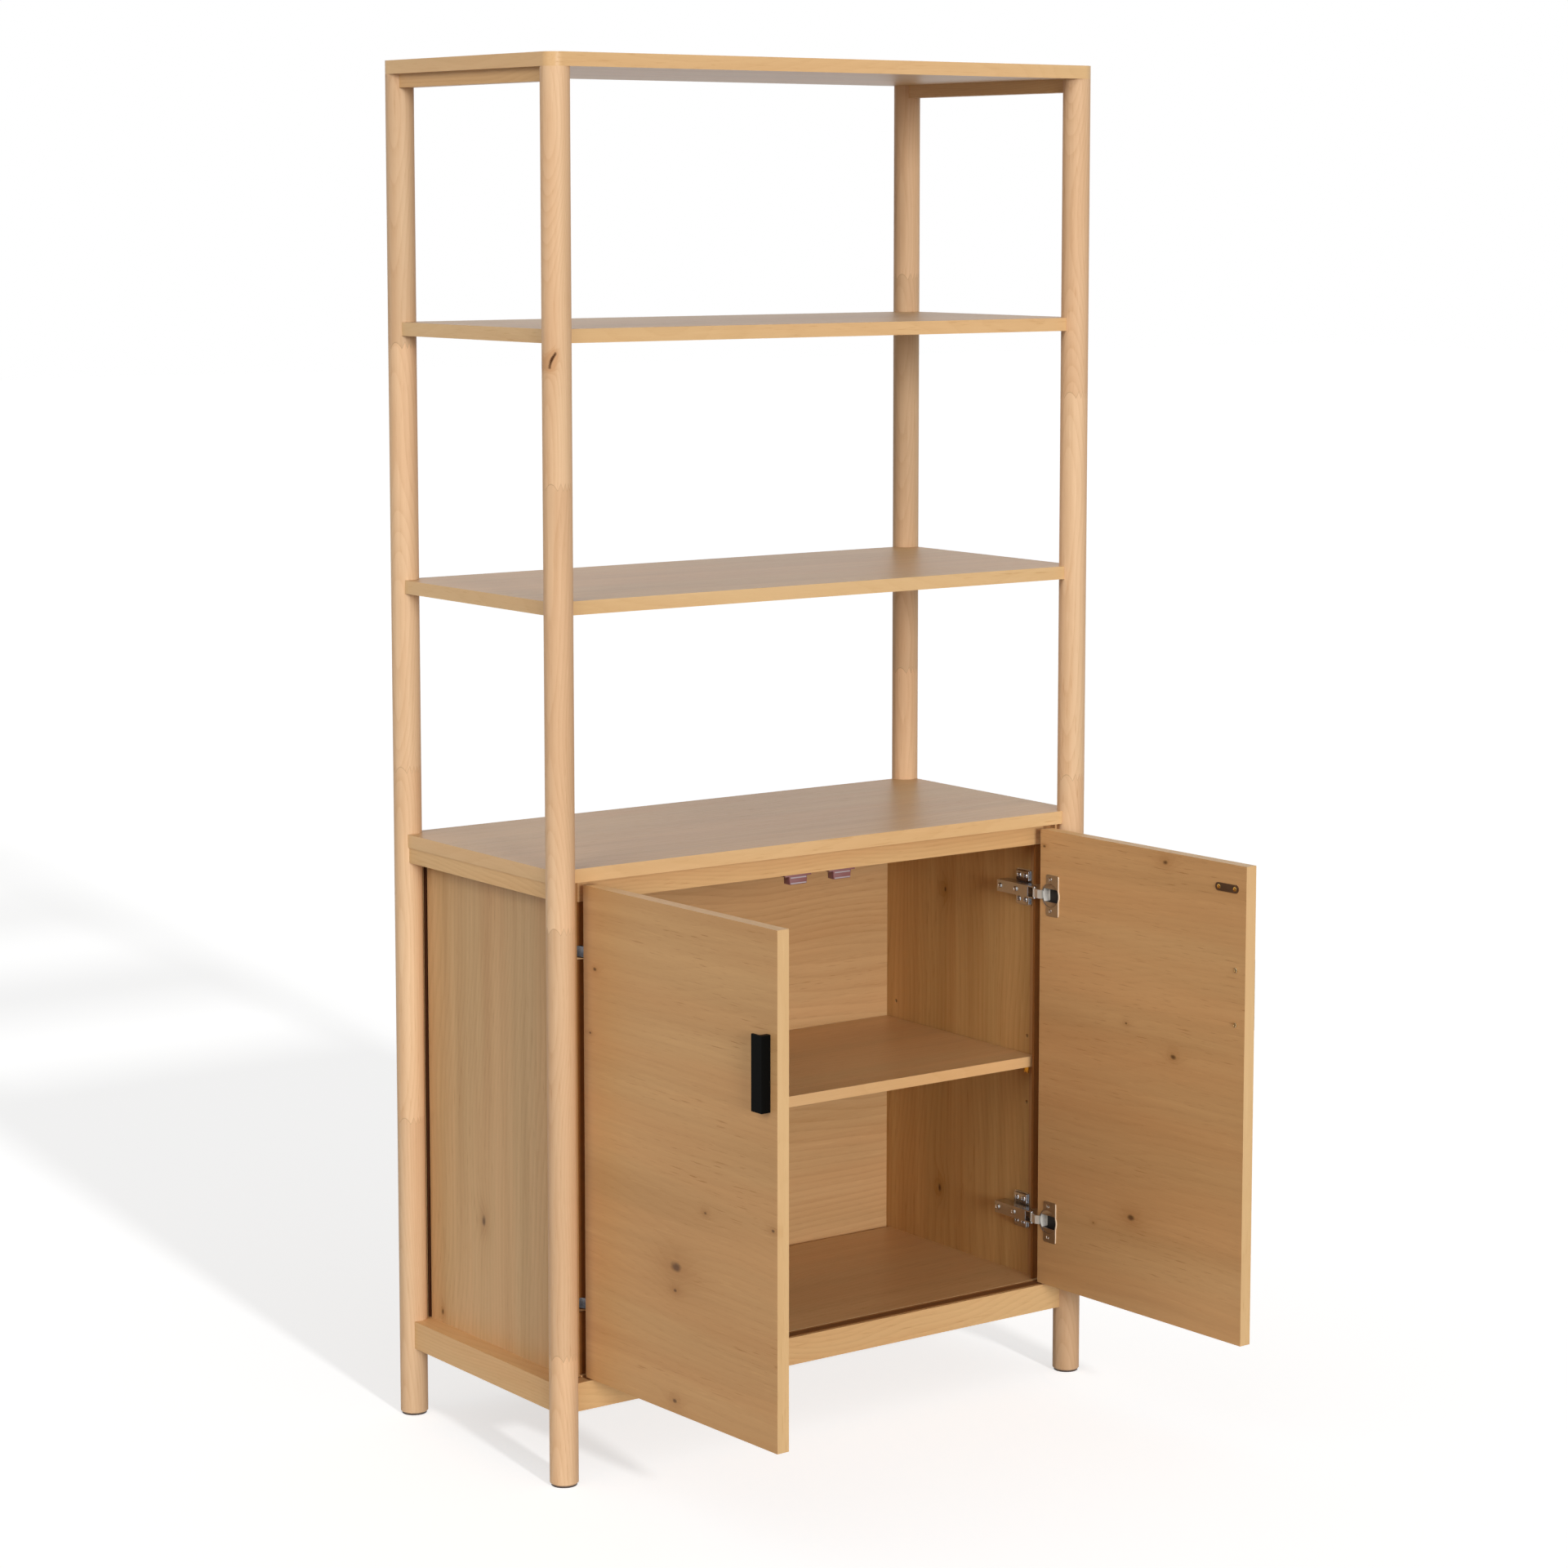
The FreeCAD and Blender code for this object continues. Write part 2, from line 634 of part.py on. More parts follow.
def add_hinge_arms(side, across, plate_holes, arm_holes):
    """Channel arms with lugs at their tips, on winged mounting plates."""
    arms = []
    plates = []
    inside = "(arm_wide - 2 * arm_wall)"
    rear = "-(panel_y - arm_rear)"
    outer = "panel_inner - arm_panel_gap"
    for level, z in LEVELS:
        name = f"{side}_{level}"
        outline = [
            ("arm_web", "-arm_y"),
            ("arm_web", rear),
            (outer, rear),
            (outer, "-(panel_y - arm_shoulder)"),
            ("arm_x + arm_lug_dia / 2", "-arm_y"),
        ]
        points = [(f"{across} * ({x})", y) for x, y in outline]
        bar = profile(f"arm_bar_{name}", "XY_Plane", points, "0", "0", z, "arm_wide")
        tip = hinge_pin(f"arm_tip_{name}", across, z, "arm_lug_dia")
        channel = box(f"arm_channel_{name}", side_span(across, "arm_web + arm_wall", "panel_inner"),
                      "-(arm_y + arm_lug_dia)", f"{z} - {inside} / 2", "panel_inner - arm_web - arm_wall",
                      "arm_y + arm_lug_dia - panel_y + arm_rear + overrun", inside)
        mouth = box(f"arm_mouth_{name}", side_span(across, "arm_web - overrun", "arm_web + arm_wall + overrun"),
                    "-(arm_y + arm_lug_dia)", f"{z} - {inside} / 2", "arm_wall + 2 * overrun",
                    "arm_y + arm_lug_dia - panel_y + arm_web_back", inside)
        bore = hinge_pin(f"arm_bore_{name}", across, z, "link_pin_dia + 2 * fit_gap")
        arms.append(cut(f"arm_{name}", fuse(f"arm_solid_{name}", bar, tip), channel, mouth, bore, arm_holes))

        wing_x = side_span(across, "panel_inner - wing_thick", "panel_inner")
        wing = box(f"wing_{name}", wing_x, "-(panel_y - wing_back + wing_long / 2)", f"{z} - wing_tall / 2",
                   "wing_thick", "wing_long", "wing_tall")
        eased = rounded(f"wing_eased_{name}", wing, size("wing_round"), along="x")
        block_high = f"({inside} - 2 * rail_block_gap)"
        block = box(f"rail_block_{name}", side_span(across, "arm_web + arm_wall", "panel_inner - wing_thick"),
                    "-(panel_y - rail_block_front)", f"{z} - {block_high} / 2",
                    "panel_inner - wing_thick - arm_web - arm_wall", "rail_block_rear - rail_block_front", block_high)
        plates.append(cut(f"plate_{name}", fuse(f"plate_solid_{name}", eased, block), plate_holes, arm_holes))
    piece(group(f"hinge_arms_{side}", arms))
    piece(group(f"hinge_plates_{side}", plates))


def add_hinge_links(side, across):
    """Cranked straps that turn on the arm pins and reach into the cups, where they stay clear."""
    links = []
    for level, z in LEVELS:
        name = f"{side}_{level}"
        outline = [
            ("- link_thick / 2", "0"),
            ("- link_side - link_thick / 2", "link_knee"),
            ("- link_end_side - link_thick / 2", "link_end"),
            ("- link_end_side + link_thick / 2", "link_end"),
            ("- link_side + link_thick / 2", "link_knee"),
            ("+ link_thick / 2", "0"),
        ]
        points = [(f"{across} * (arm_x {x})", f"-(arm_y + {y})") for x, y in outline]
        strap = profile(f"link_strap_{name}", "XY_Plane", points, "0", "0", z, "link_tall")
        barrel = rod(f"link_barrel_{name}", f"{across} * arm_x", "-arm_y", f"{z} - link_tall / 2", "+z",
                     "link_barrel_dia", "link_tall")
        bore = hinge_pin(f"link_bore_{name}", across, z, "link_pin_dia + 2 * fit_gap")
        links.append(cut(f"link_{name}", fuse(f"link_solid_{name}", strap, barrel), bore))
    turned(piece(group(f"hinge_links_{side}", links)), f"{across} * arm_x", "-arm_y", f"{across} * link_angle_{side}")


# Doors: built shut, then swung open about the pole of their hinges

def add_cups(side, across, screw_holes):
    """Hinge cups with their flanges on the door's inner face; also the bores that they need."""
    cups = []
    bores = []
    x = f"{across} * cup_x"
    for level, z in LEVELS:
        name = f"{side}_{level}"
        shell = rod(f"cup_shell_{name}", x, "-door_back", z, "-y", "cup_dia", "cup_deep")
        rim = rod(f"cup_rim_{name}", x, "-door_back", z, "+y", "cup_dia + 2 * flange_rim", "flange_thick")
        flange = box(f"cup_flange_{name}", side_span(across, "hinge_edge - flange_far", "hinge_edge - flange_near"),
                     "-door_back", f"{z} - flange_tall / 2", "flange_far - flange_near", "flange_thick", "flange_tall")
        eased = rounded(f"cup_flange_eased_{name}", flange, size("flange_round"), along="y")
        hollow = rod(f"cup_hollow_{name}", x, "-door_back + overrun", z, "-y", "cup_dia - 2 * cup_wall",
                     "overrun + cup_deep - cup_wall")
        cups.append(cut(f"cup_{name}", fuse(f"cup_solid_{name}", shell, rim, eased), hollow, screw_holes))
        bores.append(rod(f"cup_bore_{name}", x, "-door_back + overrun", z, "-y", "cup_dia + 2 * fit_gap",
                         "overrun + cup_deep + cup_floor_gap"))
    return group(f"hinge_cups_{side}", cups), group(f"cup_bores_{side}", bores)


def add_handle(side, across, screw_holes):
    """An angled pull: a foot on the door and a flange that fingers reach behind."""
    near = "door_meet_gap / 2 + handle_foot_in"
    outline = [
        (near, "door_face"),
        (f"{near} + handle_foot_thick", "door_face"),
        (f"{near} + handle_foot_thick", "door_face + handle_out - handle_flange_thick"),
        (f"{near} + handle_flange_wide", "door_face + handle_out - handle_flange_thick"),
        (f"{near} + handle_flange_wide", "door_face + handle_out"),
        (near, "door_face + handle_out"),
    ]
    points = [(f"{across} * ({x})", f"-({y})") for x, y in outline]
    bar = profile(f"handle_bar_{side}", "XY_Plane", points, "0", "0", "handle_mid", "handle_tall")
    return cut(f"handle_{side}", bar, screw_holes)


def add_strike(side, across, screw_holes):
    """A plate with round ends that the catch holds."""
    half = "(strike_wide - strike_high) / 2"
    middle = slab(f"strike_middle_{side}", f"{across} * catch_side", "-door_back + strike_thick / 2",
                  "catch_mid - strike_high / 2", "strike_wide - strike_high", "strike_thick", "strike_high")
    rounds = [
        rod(f"strike_end_{side}_{number}", f"{across} * catch_side + {way} * {half}", "-door_back", "catch_mid",
            "+y", "strike_high", "strike_thick")
        for number, way in enumerate((-1, 1))
    ]
    return cut(f"strike_plate_{side}", fuse(f"strike_solid_{side}", middle, *rounds), screw_holes)


def add_door(side, across):
    """A door with all that rides on it."""
    cup_spots = [
        (f"{across} * cup_x", "-door_back + flange_thick", f"{z} + {way} * cup_screw_pitch / 2", "-y")
        for level, z in LEVELS
        for way in (-1, 1)
    ]
    handle_spots = [
        (f"{across} * (door_meet_gap / 2 + handle_foot_in + handle_foot_thick / 2)", "-door_back",
         f"handle_mid + {way} * handle_screw_pitch / 2", "-y")
        for way in (-1, 1)
    ]
    strike_spots = [
        (f"{across} * catch_side + {way} * strike_screw_pitch / 2", "-door_back + strike_thick", "catch_mid", "-y")
        for way in (-1, 1)
    ]
    cup_screws, cup_holes = add_screws(f"cup_screws_{side}", "wood", cup_spots, "wood_long")
    handle_screws, handle_holes = add_screws(f"handle_screws_{side}", "pan", handle_spots,
                                             "door_thick + handle_screw_deep")
    strike_screws, strike_holes = add_screws(f"strike_screws_{side}", "wood", strike_spots, "wood_long")
    cups, cup_bores = add_cups(side, across, cup_holes)
    blank = box(f"door_{side}_blank", side_span(across, "door_meet_gap / 2", "hinge_edge"), "-door_face", "door_low",
                "door_wide", "door_thick", "door_tall")
    door = cut(f"door_{side}", blank, cup_bores, cup_holes, handle_holes, strike_holes)
    handle = add_handle(side, across, handle_holes)
    strike = add_strike(side, across, strike_holes)
    for thing in (door, cups, cup_screws, handle, handle_screws, strike, strike_screws):
        turned(piece(thing), f"{across} * pole_x", "-pole_y", f"{across} * door_angle_{side}")


# The whole bookcase

def fixed_screws():
    """Screws that stay on the carcass; their holes by name."""
    wing_y = "-(panel_y - wing_back)"
    plate_spots = []
    arm_spots = []
    back_spots = []
    catch_spots = []
    for side, across in SIDES:
        for level, z in LEVELS:
            for way in (-1, 1):
                plate_spots.append((f"{across} * (panel_inner - wing_thick)", wing_y,
                                    f"{z} + {way} * wing_screw_pitch / 2", outward(across)))
            for far in ("arm_screw_front", "arm_screw_rear"):
                arm_spots.append((f"{across} * arm_web", f"-(panel_y - {far})", z, outward(across)))
        edge = f"{across} * (panel_inner + panel_thick / 2)"
        back_face = "back_inner + back_thick"
        for z in ("base_top + back_screw_from_end", "(base_top + deck_under) / 2", "deck_under - back_screw_from_end"):
            back_spots.append((edge, back_face, z, "-y"))
        back_spots.append((f"{across} * back_rail_screw_side", back_face, "deck_under - deck_rail_high / 2", "-y"))
        for way in (-1, 1):
            catch_spots.append((f"{across} * catch_side + {way} * catch_screw_pitch / 2",
                                "-(catch_y - catch_deep / 2)", "catch_mid - catch_high / 2", "+z"))
    holes = {}
    for name, kind, spots, length in (
        ("hinge_plate_screws", "wood", plate_spots, "wood_long"),
        ("hinge_arm_screws", "pan", arm_spots, "arm_screw_long"),
        ("back_panel_screws", "wood", back_spots, "back_screw_long"),
        ("catch_screws", "wood", catch_spots, "catch_high + wood_long"),
    ):
        screws, holes[name] = add_screws(name, kind, spots, length)
        piece(screws)
    return holes


def build():
    dowel_room = add_dowels()
    post_room = add_posts(dowel_room)
    add_top(dowel_room)
    add_shelves(dowel_room, post_room)
    add_rails(dowel_room, post_room)
    holes = fixed_screws()
    add_panels(dowel_room, holes)
    add_inner_shelf()
    add_catches(holes["catch_screws"])
    pins = []
    for side, across in SIDES:
        add_hinge_arms(side, across, holes["hinge_plate_screws"], holes["hinge_arm_screws"])
        add_hinge_links(side, across)
        add_door(side, across)
        pins += [hinge_pin(f"link_pin_{side}_{level}", across, z, "link_pin_dia") for level, z in LEVELS]
    piece(group("hinge_link_pins", pins))


def write_pieces():
    """Check every object, then write one file for each piece."""
    doc.recompute()
    for thing in doc.Objects:
        if {"Invalid", "Error"} & set(thing.State):
            raise RuntimeError(f"{thing.Name} failed: {thing.State}")
    for thing in pieces:
        if thing.Shape.isNull() or not thing.Shape.isValid() or not thing.Shape.Solids:
            raise RuntimeError(f"{thing.Name} has no valid solid")
    os.makedirs("parts", exist_ok=True)
    for thing in pieces:
        thing.Shape.exportStep(os.path.join("parts", f"{thing.Label}.step"))
    print(len(pieces), "pieces", sum(len(thing.Shape.Solids) for thing in pieces), "solids")


build()
write_pieces()
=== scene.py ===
"""Bookcase: materials, small detail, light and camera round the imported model.

Metres, +Z up, and the front faces -Y.
"""

import bmesh
import bpy
import math
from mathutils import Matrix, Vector


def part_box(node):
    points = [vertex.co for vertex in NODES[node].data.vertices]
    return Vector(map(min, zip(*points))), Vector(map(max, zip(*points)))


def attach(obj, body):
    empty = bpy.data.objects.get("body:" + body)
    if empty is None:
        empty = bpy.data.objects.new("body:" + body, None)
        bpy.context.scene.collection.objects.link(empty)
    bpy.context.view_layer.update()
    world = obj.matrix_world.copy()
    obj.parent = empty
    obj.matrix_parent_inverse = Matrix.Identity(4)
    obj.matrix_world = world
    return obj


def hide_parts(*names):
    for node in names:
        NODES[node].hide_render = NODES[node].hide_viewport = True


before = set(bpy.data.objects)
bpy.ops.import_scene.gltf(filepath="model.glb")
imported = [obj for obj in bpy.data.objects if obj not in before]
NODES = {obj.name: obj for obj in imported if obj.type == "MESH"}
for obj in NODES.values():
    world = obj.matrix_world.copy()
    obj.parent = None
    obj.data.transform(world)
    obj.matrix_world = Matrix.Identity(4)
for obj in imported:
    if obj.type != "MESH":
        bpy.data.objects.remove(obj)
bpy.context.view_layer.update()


# Node trees

def srgb(red, green, blue):
    """A colour given as 0 to 255 display values, as the linear colour that nodes take."""
    def linear(value):
        value /= 255
        return value / 12.92 if value <= 0.04045 else ((value + 0.055) / 1.055) ** 2.4
    return (linear(red), linear(green), linear(blue), 1.0)


class Graph:
    """Builds a node tree by calls. Each call returns the output socket to use next."""

    def __init__(self, tree):
        self.tree = tree

    def plug(self, value, socket):
        if isinstance(value, bpy.types.NodeSocket):
            self.tree.links.new(value, socket)
        else:
            socket.default_value = value

    def add(self, kind, inputs=None, out=0, **settings):
        node = self.tree.nodes.new(kind)
        for name, value in settings.items():
            setattr(node, name, value)
        for name, value in (inputs or {}).items():
            self.plug(value, node.inputs[name])
        return node.outputs[out]

    def math(self, operation, *values, clamp=False):
        return self.add("ShaderNodeMath", dict(enumerate(values)), operation=operation, use_clamp=clamp)

    def total(self, *values):
        result = values[0]
        for value in values[1:]:
            result = self.math("ADD", result, value)
        return result

    def times(self, *values):
        result = values[0]
        for value in values[1:]:
            result = self.math("MULTIPLY", result, value)
        return result

    def vector(self, operation, *values):
        out = 1 if operation == "DOT_PRODUCT" else 0
        return self.add("ShaderNodeVectorMath", dict(enumerate(values)), out=out, operation=operation)

    def combine(self, x, y, z):
        return self.add("ShaderNodeCombineXYZ", {0: x, 1: y, 2: z})

    def split(self, value):
        node = self.tree.nodes.new("ShaderNodeSeparateXYZ")
        self.plug(value, node.inputs[0])
        return node.outputs

    def noise(self, vector, detail=2.0, rough=0.5, scale=1.0):
        inputs = {"Vector": vector, "Scale": scale, "Detail": detail, "Roughness": rough}
        return self.add("ShaderNodeTexNoise", inputs)

    def ramp(self, value, low, high, first=0.0, last=1.0):
        inputs = {"Value": value, "From Min": low, "From Max": high, "To Min": first, "To Max": last}
        return self.add("ShaderNodeMapRange", inputs, interpolation_type="SMOOTHSTEP")

    def mix(self, share, first, second, blend="MIX"):
        node = self.tree.nodes.new("ShaderNodeMix")
        node.data_type = "RGBA"
        node.blend_type = blend
        node.clamp_factor = True
        self.plug(share, node.inputs[0])
        self.plug(first, node.inputs[6])
        self.plug(second, node.inputs[7])
        return node.outputs[2]

    def mix_vector(self, share, first, second):
        node = self.tree.nodes.new("ShaderNodeMix")
        node.data_type = "VECTOR"
        self.plug(share, node.inputs[0])
        self.plug(first, node.inputs[4])
        self.plug(second, node.inputs[5])
        return node.outputs[1]


def new_material(name):
    material = bpy.data.materials.new(name)
    material.use_nodes = True
    material.node_tree.nodes.clear()
    return material, Graph(material.node_tree)


def finish_material(graph, colour, rough, normal, flat, **more):
    """Ends a material in one Principled shader. The flat colour is what a viewer without nodes shows."""
    shader = graph.tree.nodes.new("ShaderNodeBsdfPrincipled")
    shader.inputs["Base Color"].default_value = flat
    graph.plug(colour, shader.inputs["Base Color"])
    graph.plug(rough, shader.inputs["Roughness"])
    graph.plug(normal, shader.inputs["Normal"])
    for name, value in more.items():
        graph.plug(value, shader.inputs[name.replace("_", " ")])
    output = graph.tree.nodes.new("ShaderNodeOutputMaterial")
    graph.tree.links.new(shader.outputs[0], output.inputs["Surface"])


# Oak: one node group draws the wood in a board's own directions, x along the grain, y across, z through

OAK_INPUTS = {"Grain": "Vector", "Knot": "Float", "Core": "Float", "Light": "Color", "Dark": "Color",
              "Ring": "Float", "Depth": "Float", "Contrast": "Float", "Fleck": "Float", "Streak": "Float"}
OAK_OUTPUTS = {"Color": "Color", "Height": "Float", "Gloss": "Float"}
KNOT_BROWN = srgb(78, 46, 22)
# The two ends of a slow drift in hue, as factors on the colour
BLUSH = (0.992, 1.008, 1.012, 1.0), (1.012, 0.98, 0.96, 1.0)


def make_oak_group():
    """Ring is the width of a year and Depth how far the heart lies below the face, both in metres."""
    group = bpy.data.node_groups.new("oak_grain", "ShaderNodeTree")
    for name, kind in OAK_INPUTS.items():
        group.interface.new_socket(name, in_out="INPUT", socket_type=f"NodeSocket{kind}")
    for name, kind in OAK_OUTPUTS.items():
        group.interface.new_socket(name, in_out="OUTPUT", socket_type=f"NodeSocket{kind}")
    g = Graph(group)
    given = group.nodes.new("NodeGroupInput").outputs
    grain = given["Grain"]
    knot = given["Knot"]

    def stretched(along, across):
        """Coordinates for a noise with so many features per metre along the grain and across it."""
        return g.vector("MULTIPLY", grain, (along, across, across))

    along, across, through = g.split(grain)
    # Year rings: distance from a wandering heart line below the face
    sway = g.math("SUBTRACT", g.noise(stretched(0.9, 2.2), detail=2.0), 0.5)
    rise = g.math("SUBTRACT", g.noise(stretched(1.7, 3.1), detail=2.0, rough=0.55), 0.5)
    off_side = g.total(across, g.times(sway, 0.30))
    off_deep = g.total(through, given["Depth"], g.times(rise, 0.16))
    reach = g.math("SQRT", g.total(g.times(off_side, off_side), g.times(off_deep, off_deep)))
    shake = g.math("SUBTRACT", g.noise(stretched(9.0, 70.0), detail=3.0), 0.5)
    phase = g.total(g.math("DIVIDE", reach, given["Ring"]), g.times(shake, 0.5), g.times(knot, 2.6))
    year = g.math("FRACT", phase)
    early = g.math("POWER", g.math("SUBTRACT", 1.0, year), 2.2)
    onset = g.ramp(year, 0.0, 0.09)
    ring = g.times(early, onset)
    # Vessels, fibres, slow changes of tone
    pores = g.ramp(g.noise(stretched(55.0, 1150.0), detail=1.5, rough=0.6), 0.56, 0.74)
    pores = g.times(pores, g.total(0.35, g.times(ring, 0.65)))
    dashes = g.ramp(g.noise(stretched(24.0, 420.0), detail=2.0, rough=0.55), 0.60, 0.76)
    lights = g.ramp(g.noise(stretched(20.0, 330.0), detail=2.0, rough=0.5), 0.60, 0.80)
    gather = g.ramp(g.noise(stretched(2.2, 14.0), detail=1.0), 0.36, 0.66)
    dashes = g.times(dashes, gather, given["Fleck"])
    fibre = g.math("SUBTRACT", g.noise(stretched(5.0, 260.0), detail=3.0, rough=0.6), 0.5)
    streak = g.math("SUBTRACT", g.noise(stretched(1.3, 42.0), detail=3.0, rough=0.55), 0.5)
    cloud = g.math("SUBTRACT", g.noise(stretched(1.6, 7.0), detail=2.0), 0.5)
    share = g.total(g.times(given["Contrast"], ring), g.times(fibre, given["Streak"], 0.24),
                    g.times(streak, given["Streak"], 0.65), g.times(cloud, 0.75), 0.26)
    share = g.total(share, g.times(dashes, 0.55), g.times(pores, 0.28), g.times(lights, -0.22),
                    g.times(knot, 0.55))
    colour = g.mix(g.math("MULTIPLY", share, 1.0, clamp=True), given["Light"], given["Dark"])
    blush = g.ramp(g.noise(stretched(1.5, 16.0), detail=2.0), 0.34, 0.66)
    colour = g.mix(1.0, colour, g.mix(blush, *BLUSH), "MULTIPLY")
    colour = g.mix(g.math("MULTIPLY", given["Core"], 0.82, clamp=True), colour, KNOT_BROWN)
    # Relief and gloss follow the vessels and fibres
    height = g.total(g.times(pores, -0.9), g.times(dashes, -0.45), g.times(fibre, 0.20), g.times(ring, -0.12))
    gloss = g.total(g.times(pores, 0.14), g.times(dashes, 0.06), g.times(fibre, 0.06))
    result = group.nodes.new("NodeGroupOutput")
    for name, value in (("Color", colour), ("Height", height), ("Gloss", gloss)):
        group.links.new(value, result.inputs[name])
    return group


OAK = make_oak_group()
RELIEF, RELIEF_DEPTH = 0.25, 0.0006

# Finger joints: half the pitch of the fingers, their slope, and the half width of the glue line
FINGER_STEP, FINGER_SLOPE, FINGER_LINE = 0.0026, 3.6, 0.0011
FINGER_BROWN = srgb(120, 80, 45)


def finger_joints(g, u, v, w, joints, seed):
    """A number for the stave that a point is in, and how near the point is to a finger joint."""
    zigzag = g.times(g.math("PINGPONG", g.total(v, g.times(w, 0.6), 1.0), FINGER_STEP), FINGER_SLOPE)
    level = g.total(u, zigzag)
    steps = [g.math("GREATER_THAN", level, joint) for joint in joints]
    near = [g.ramp(g.math("ABSOLUTE", g.math("SUBTRACT", level, joint)), 0.0, FINGER_LINE, 1.0, 0.0)
            for joint in joints]
    return g.total(*steps, seed), g.total(*near)


def knot_fields(g, u, v, w, knots):
    """How strongly a point is drawn into the swirl round a knot, and how far it is in a knot's dark core."""
    fields, cores = [], []
    wander = g.math("SUBTRACT", g.noise(g.combine(u, v, w), detail=2.0, scale=55.0), 0.5)
    for at, up, radius, halo, side in knots:
        du = g.times(g.math("SUBTRACT", u, at), 0.62)
        dv = g.math("SUBTRACT", v, up)
        far = g.total(g.times(du, du), g.times(dv, dv))
        falloff = g.math("DIVIDE", 1.0, g.total(g.math("DIVIDE", far, halo * halo), 1.0))
        field = g.math("POWER", falloff, 2.0)
        edge = g.total(g.math("SQRT", far), g.times(wander, radius * 0.9))
        core = g.ramp(edge, radius * 0.25, radius, 1.0, 0.0)
        if side:
            gate = g.math("GREATER_THAN" if side > 0 else "LESS_THAN", w, 0.0)
            field, core = g.times(field, gate), g.times(core, gate)
        fields.append(field)
        cores.append(core)
    return g.total(*fields), g.total(*cores)


def oak(name, along, across, light, dark, seed=0.0, origin=(0.0, 0.0, 0.0), ring=0.0075, depth=0.05,
        contrast=0.30, fleck=1.0, streak=1.0, rough=0.42, knots=(), joints=(), band=None, specular=0.25):
    """Oak with its grain along one direction.

    knots are (along, across, core radius, halo radius, side) from the origin, side 1 for one face, 0 for both.
    joints are the places of finger joints along the grain. band is the light and dark of glued-on edges.
    """
    material, g = new_material(f"oak_{name}")
    flat = tuple((a + b) / 2 for a, b in zip(light, dark))
    along, across = Vector(along).normalized(), Vector(across).normalized()
    through = along.cross(across)
    spot = g.tree.nodes.new("ShaderNodeTexCoord")
    place = g.vector("SUBTRACT", spot.outputs["Object"], tuple(origin))
    face = spot.outputs["Normal"]
    u, v, w = (g.vector("DOT_PRODUCT", place, tuple(way)) for way in (along, across, through))
    vector = g.vector("ADD", g.combine(u, v, w), (seed * 3.17, seed * 5.71, seed * 1.93))
    if joints:
        number, seam = finger_joints(g, u, v, w, joints, seed)
        pick = g.add("ShaderNodeTexWhiteNoise", {"W": number}, noise_dimensions="1D")
        shift = g.times(number, 0.37)
        vector = g.vector("ADD", vector, g.combine(shift, shift, shift))
    field, core = knot_fields(g, u, v, w, knots) if knots else (0.0, 0.0)
    if band:
        # On the ends and edges the grain runs along the glued band
        end, side = (g.math("GREATER_THAN", g.math("ABSOLUTE", g.vector("DOT_PRODUCT", face, tuple(way))), 0.7)
                     for way in (along, across))
        vector = g.mix_vector(end, vector, g.vector("ADD", g.combine(v, w, u), (2.3, 1.1, seed)))
        vector = g.mix_vector(side, vector, g.vector("ADD", g.combine(u, w, v), (5.3, 0.7, seed)))
        rim = g.math("MAXIMUM", end, side)
        light, dark = g.mix(rim, light, band[0]), g.mix(rim, dark, band[1])
    group = g.tree.nodes.new("ShaderNodeGroup")
    group.node_tree = OAK
    given = (vector, field, core, light, dark, ring, depth, contrast, fleck, streak)
    for key, value in zip(OAK_INPUTS, given):
        g.plug(value, group.inputs[key])
    colour = group.outputs["Color"]
    if joints:
        bright = g.total(g.times(g.math("SUBTRACT", pick, 0.5), 0.16), 1.0)
        colour = g.mix(1.0, colour, g.combine(bright, bright, bright), "MULTIPLY")
        colour = g.mix(g.times(seam, 0.32), colour, FINGER_BROWN)
    relief = {"Strength": RELIEF, "Distance": RELIEF_DEPTH, "Height": group.outputs["Height"]}
    normal = g.add("ShaderNodeBump", relief)
    gloss = g.total(group.outputs["Gloss"], rough)
    finish_material(g, colour, gloss, normal, flat, Specular_IOR_Level=specular)
    return material


def plain(name, colour, rough, grit, spots, metal=0.0, tint=0.06, **more):
    """Metal, plastic or lacquer with a slight mottle in colour, gloss and relief."""
    material, g = new_material(name)
    spot = g.tree.nodes.new("ShaderNodeTexCoord")
    mottle = g.noise(spot.outputs["Object"], detail=3.0, scale=spots)
    slow = g.noise(spot.outputs["Object"], detail=2.0, scale=spots * 0.06)
    darker = tuple(channel * (1 - tint) for channel in colour[:3]) + (1.0,)
    lighter = tuple(min(channel * (1 + tint), 1.0) for channel in colour[:3]) + (1.0,)
    shade = g.mix(slow, darker, lighter)
    gloss = g.total(rough, g.times(g.math("SUBTRACT", slow, 0.5), rough * 0.35))
    finish_material(g, shade, gloss, fine_relief(g, grit, mottle), colour, Metallic=metal, **more)
    return material


def fine_relief(g, grit, mottle):
    """The slight bump of cast, pressed or lacquered surfaces."""
    return g.add("ShaderNodeBump", {"Strength": grit, "Distance": 0.0002, "Height": mottle})


# Materials of the wooden pieces

X, Y, Z = (1, 0, 0), (0, 1, 0), (0, 0, 1)
SIDES = {"left": -1, "right": 1}

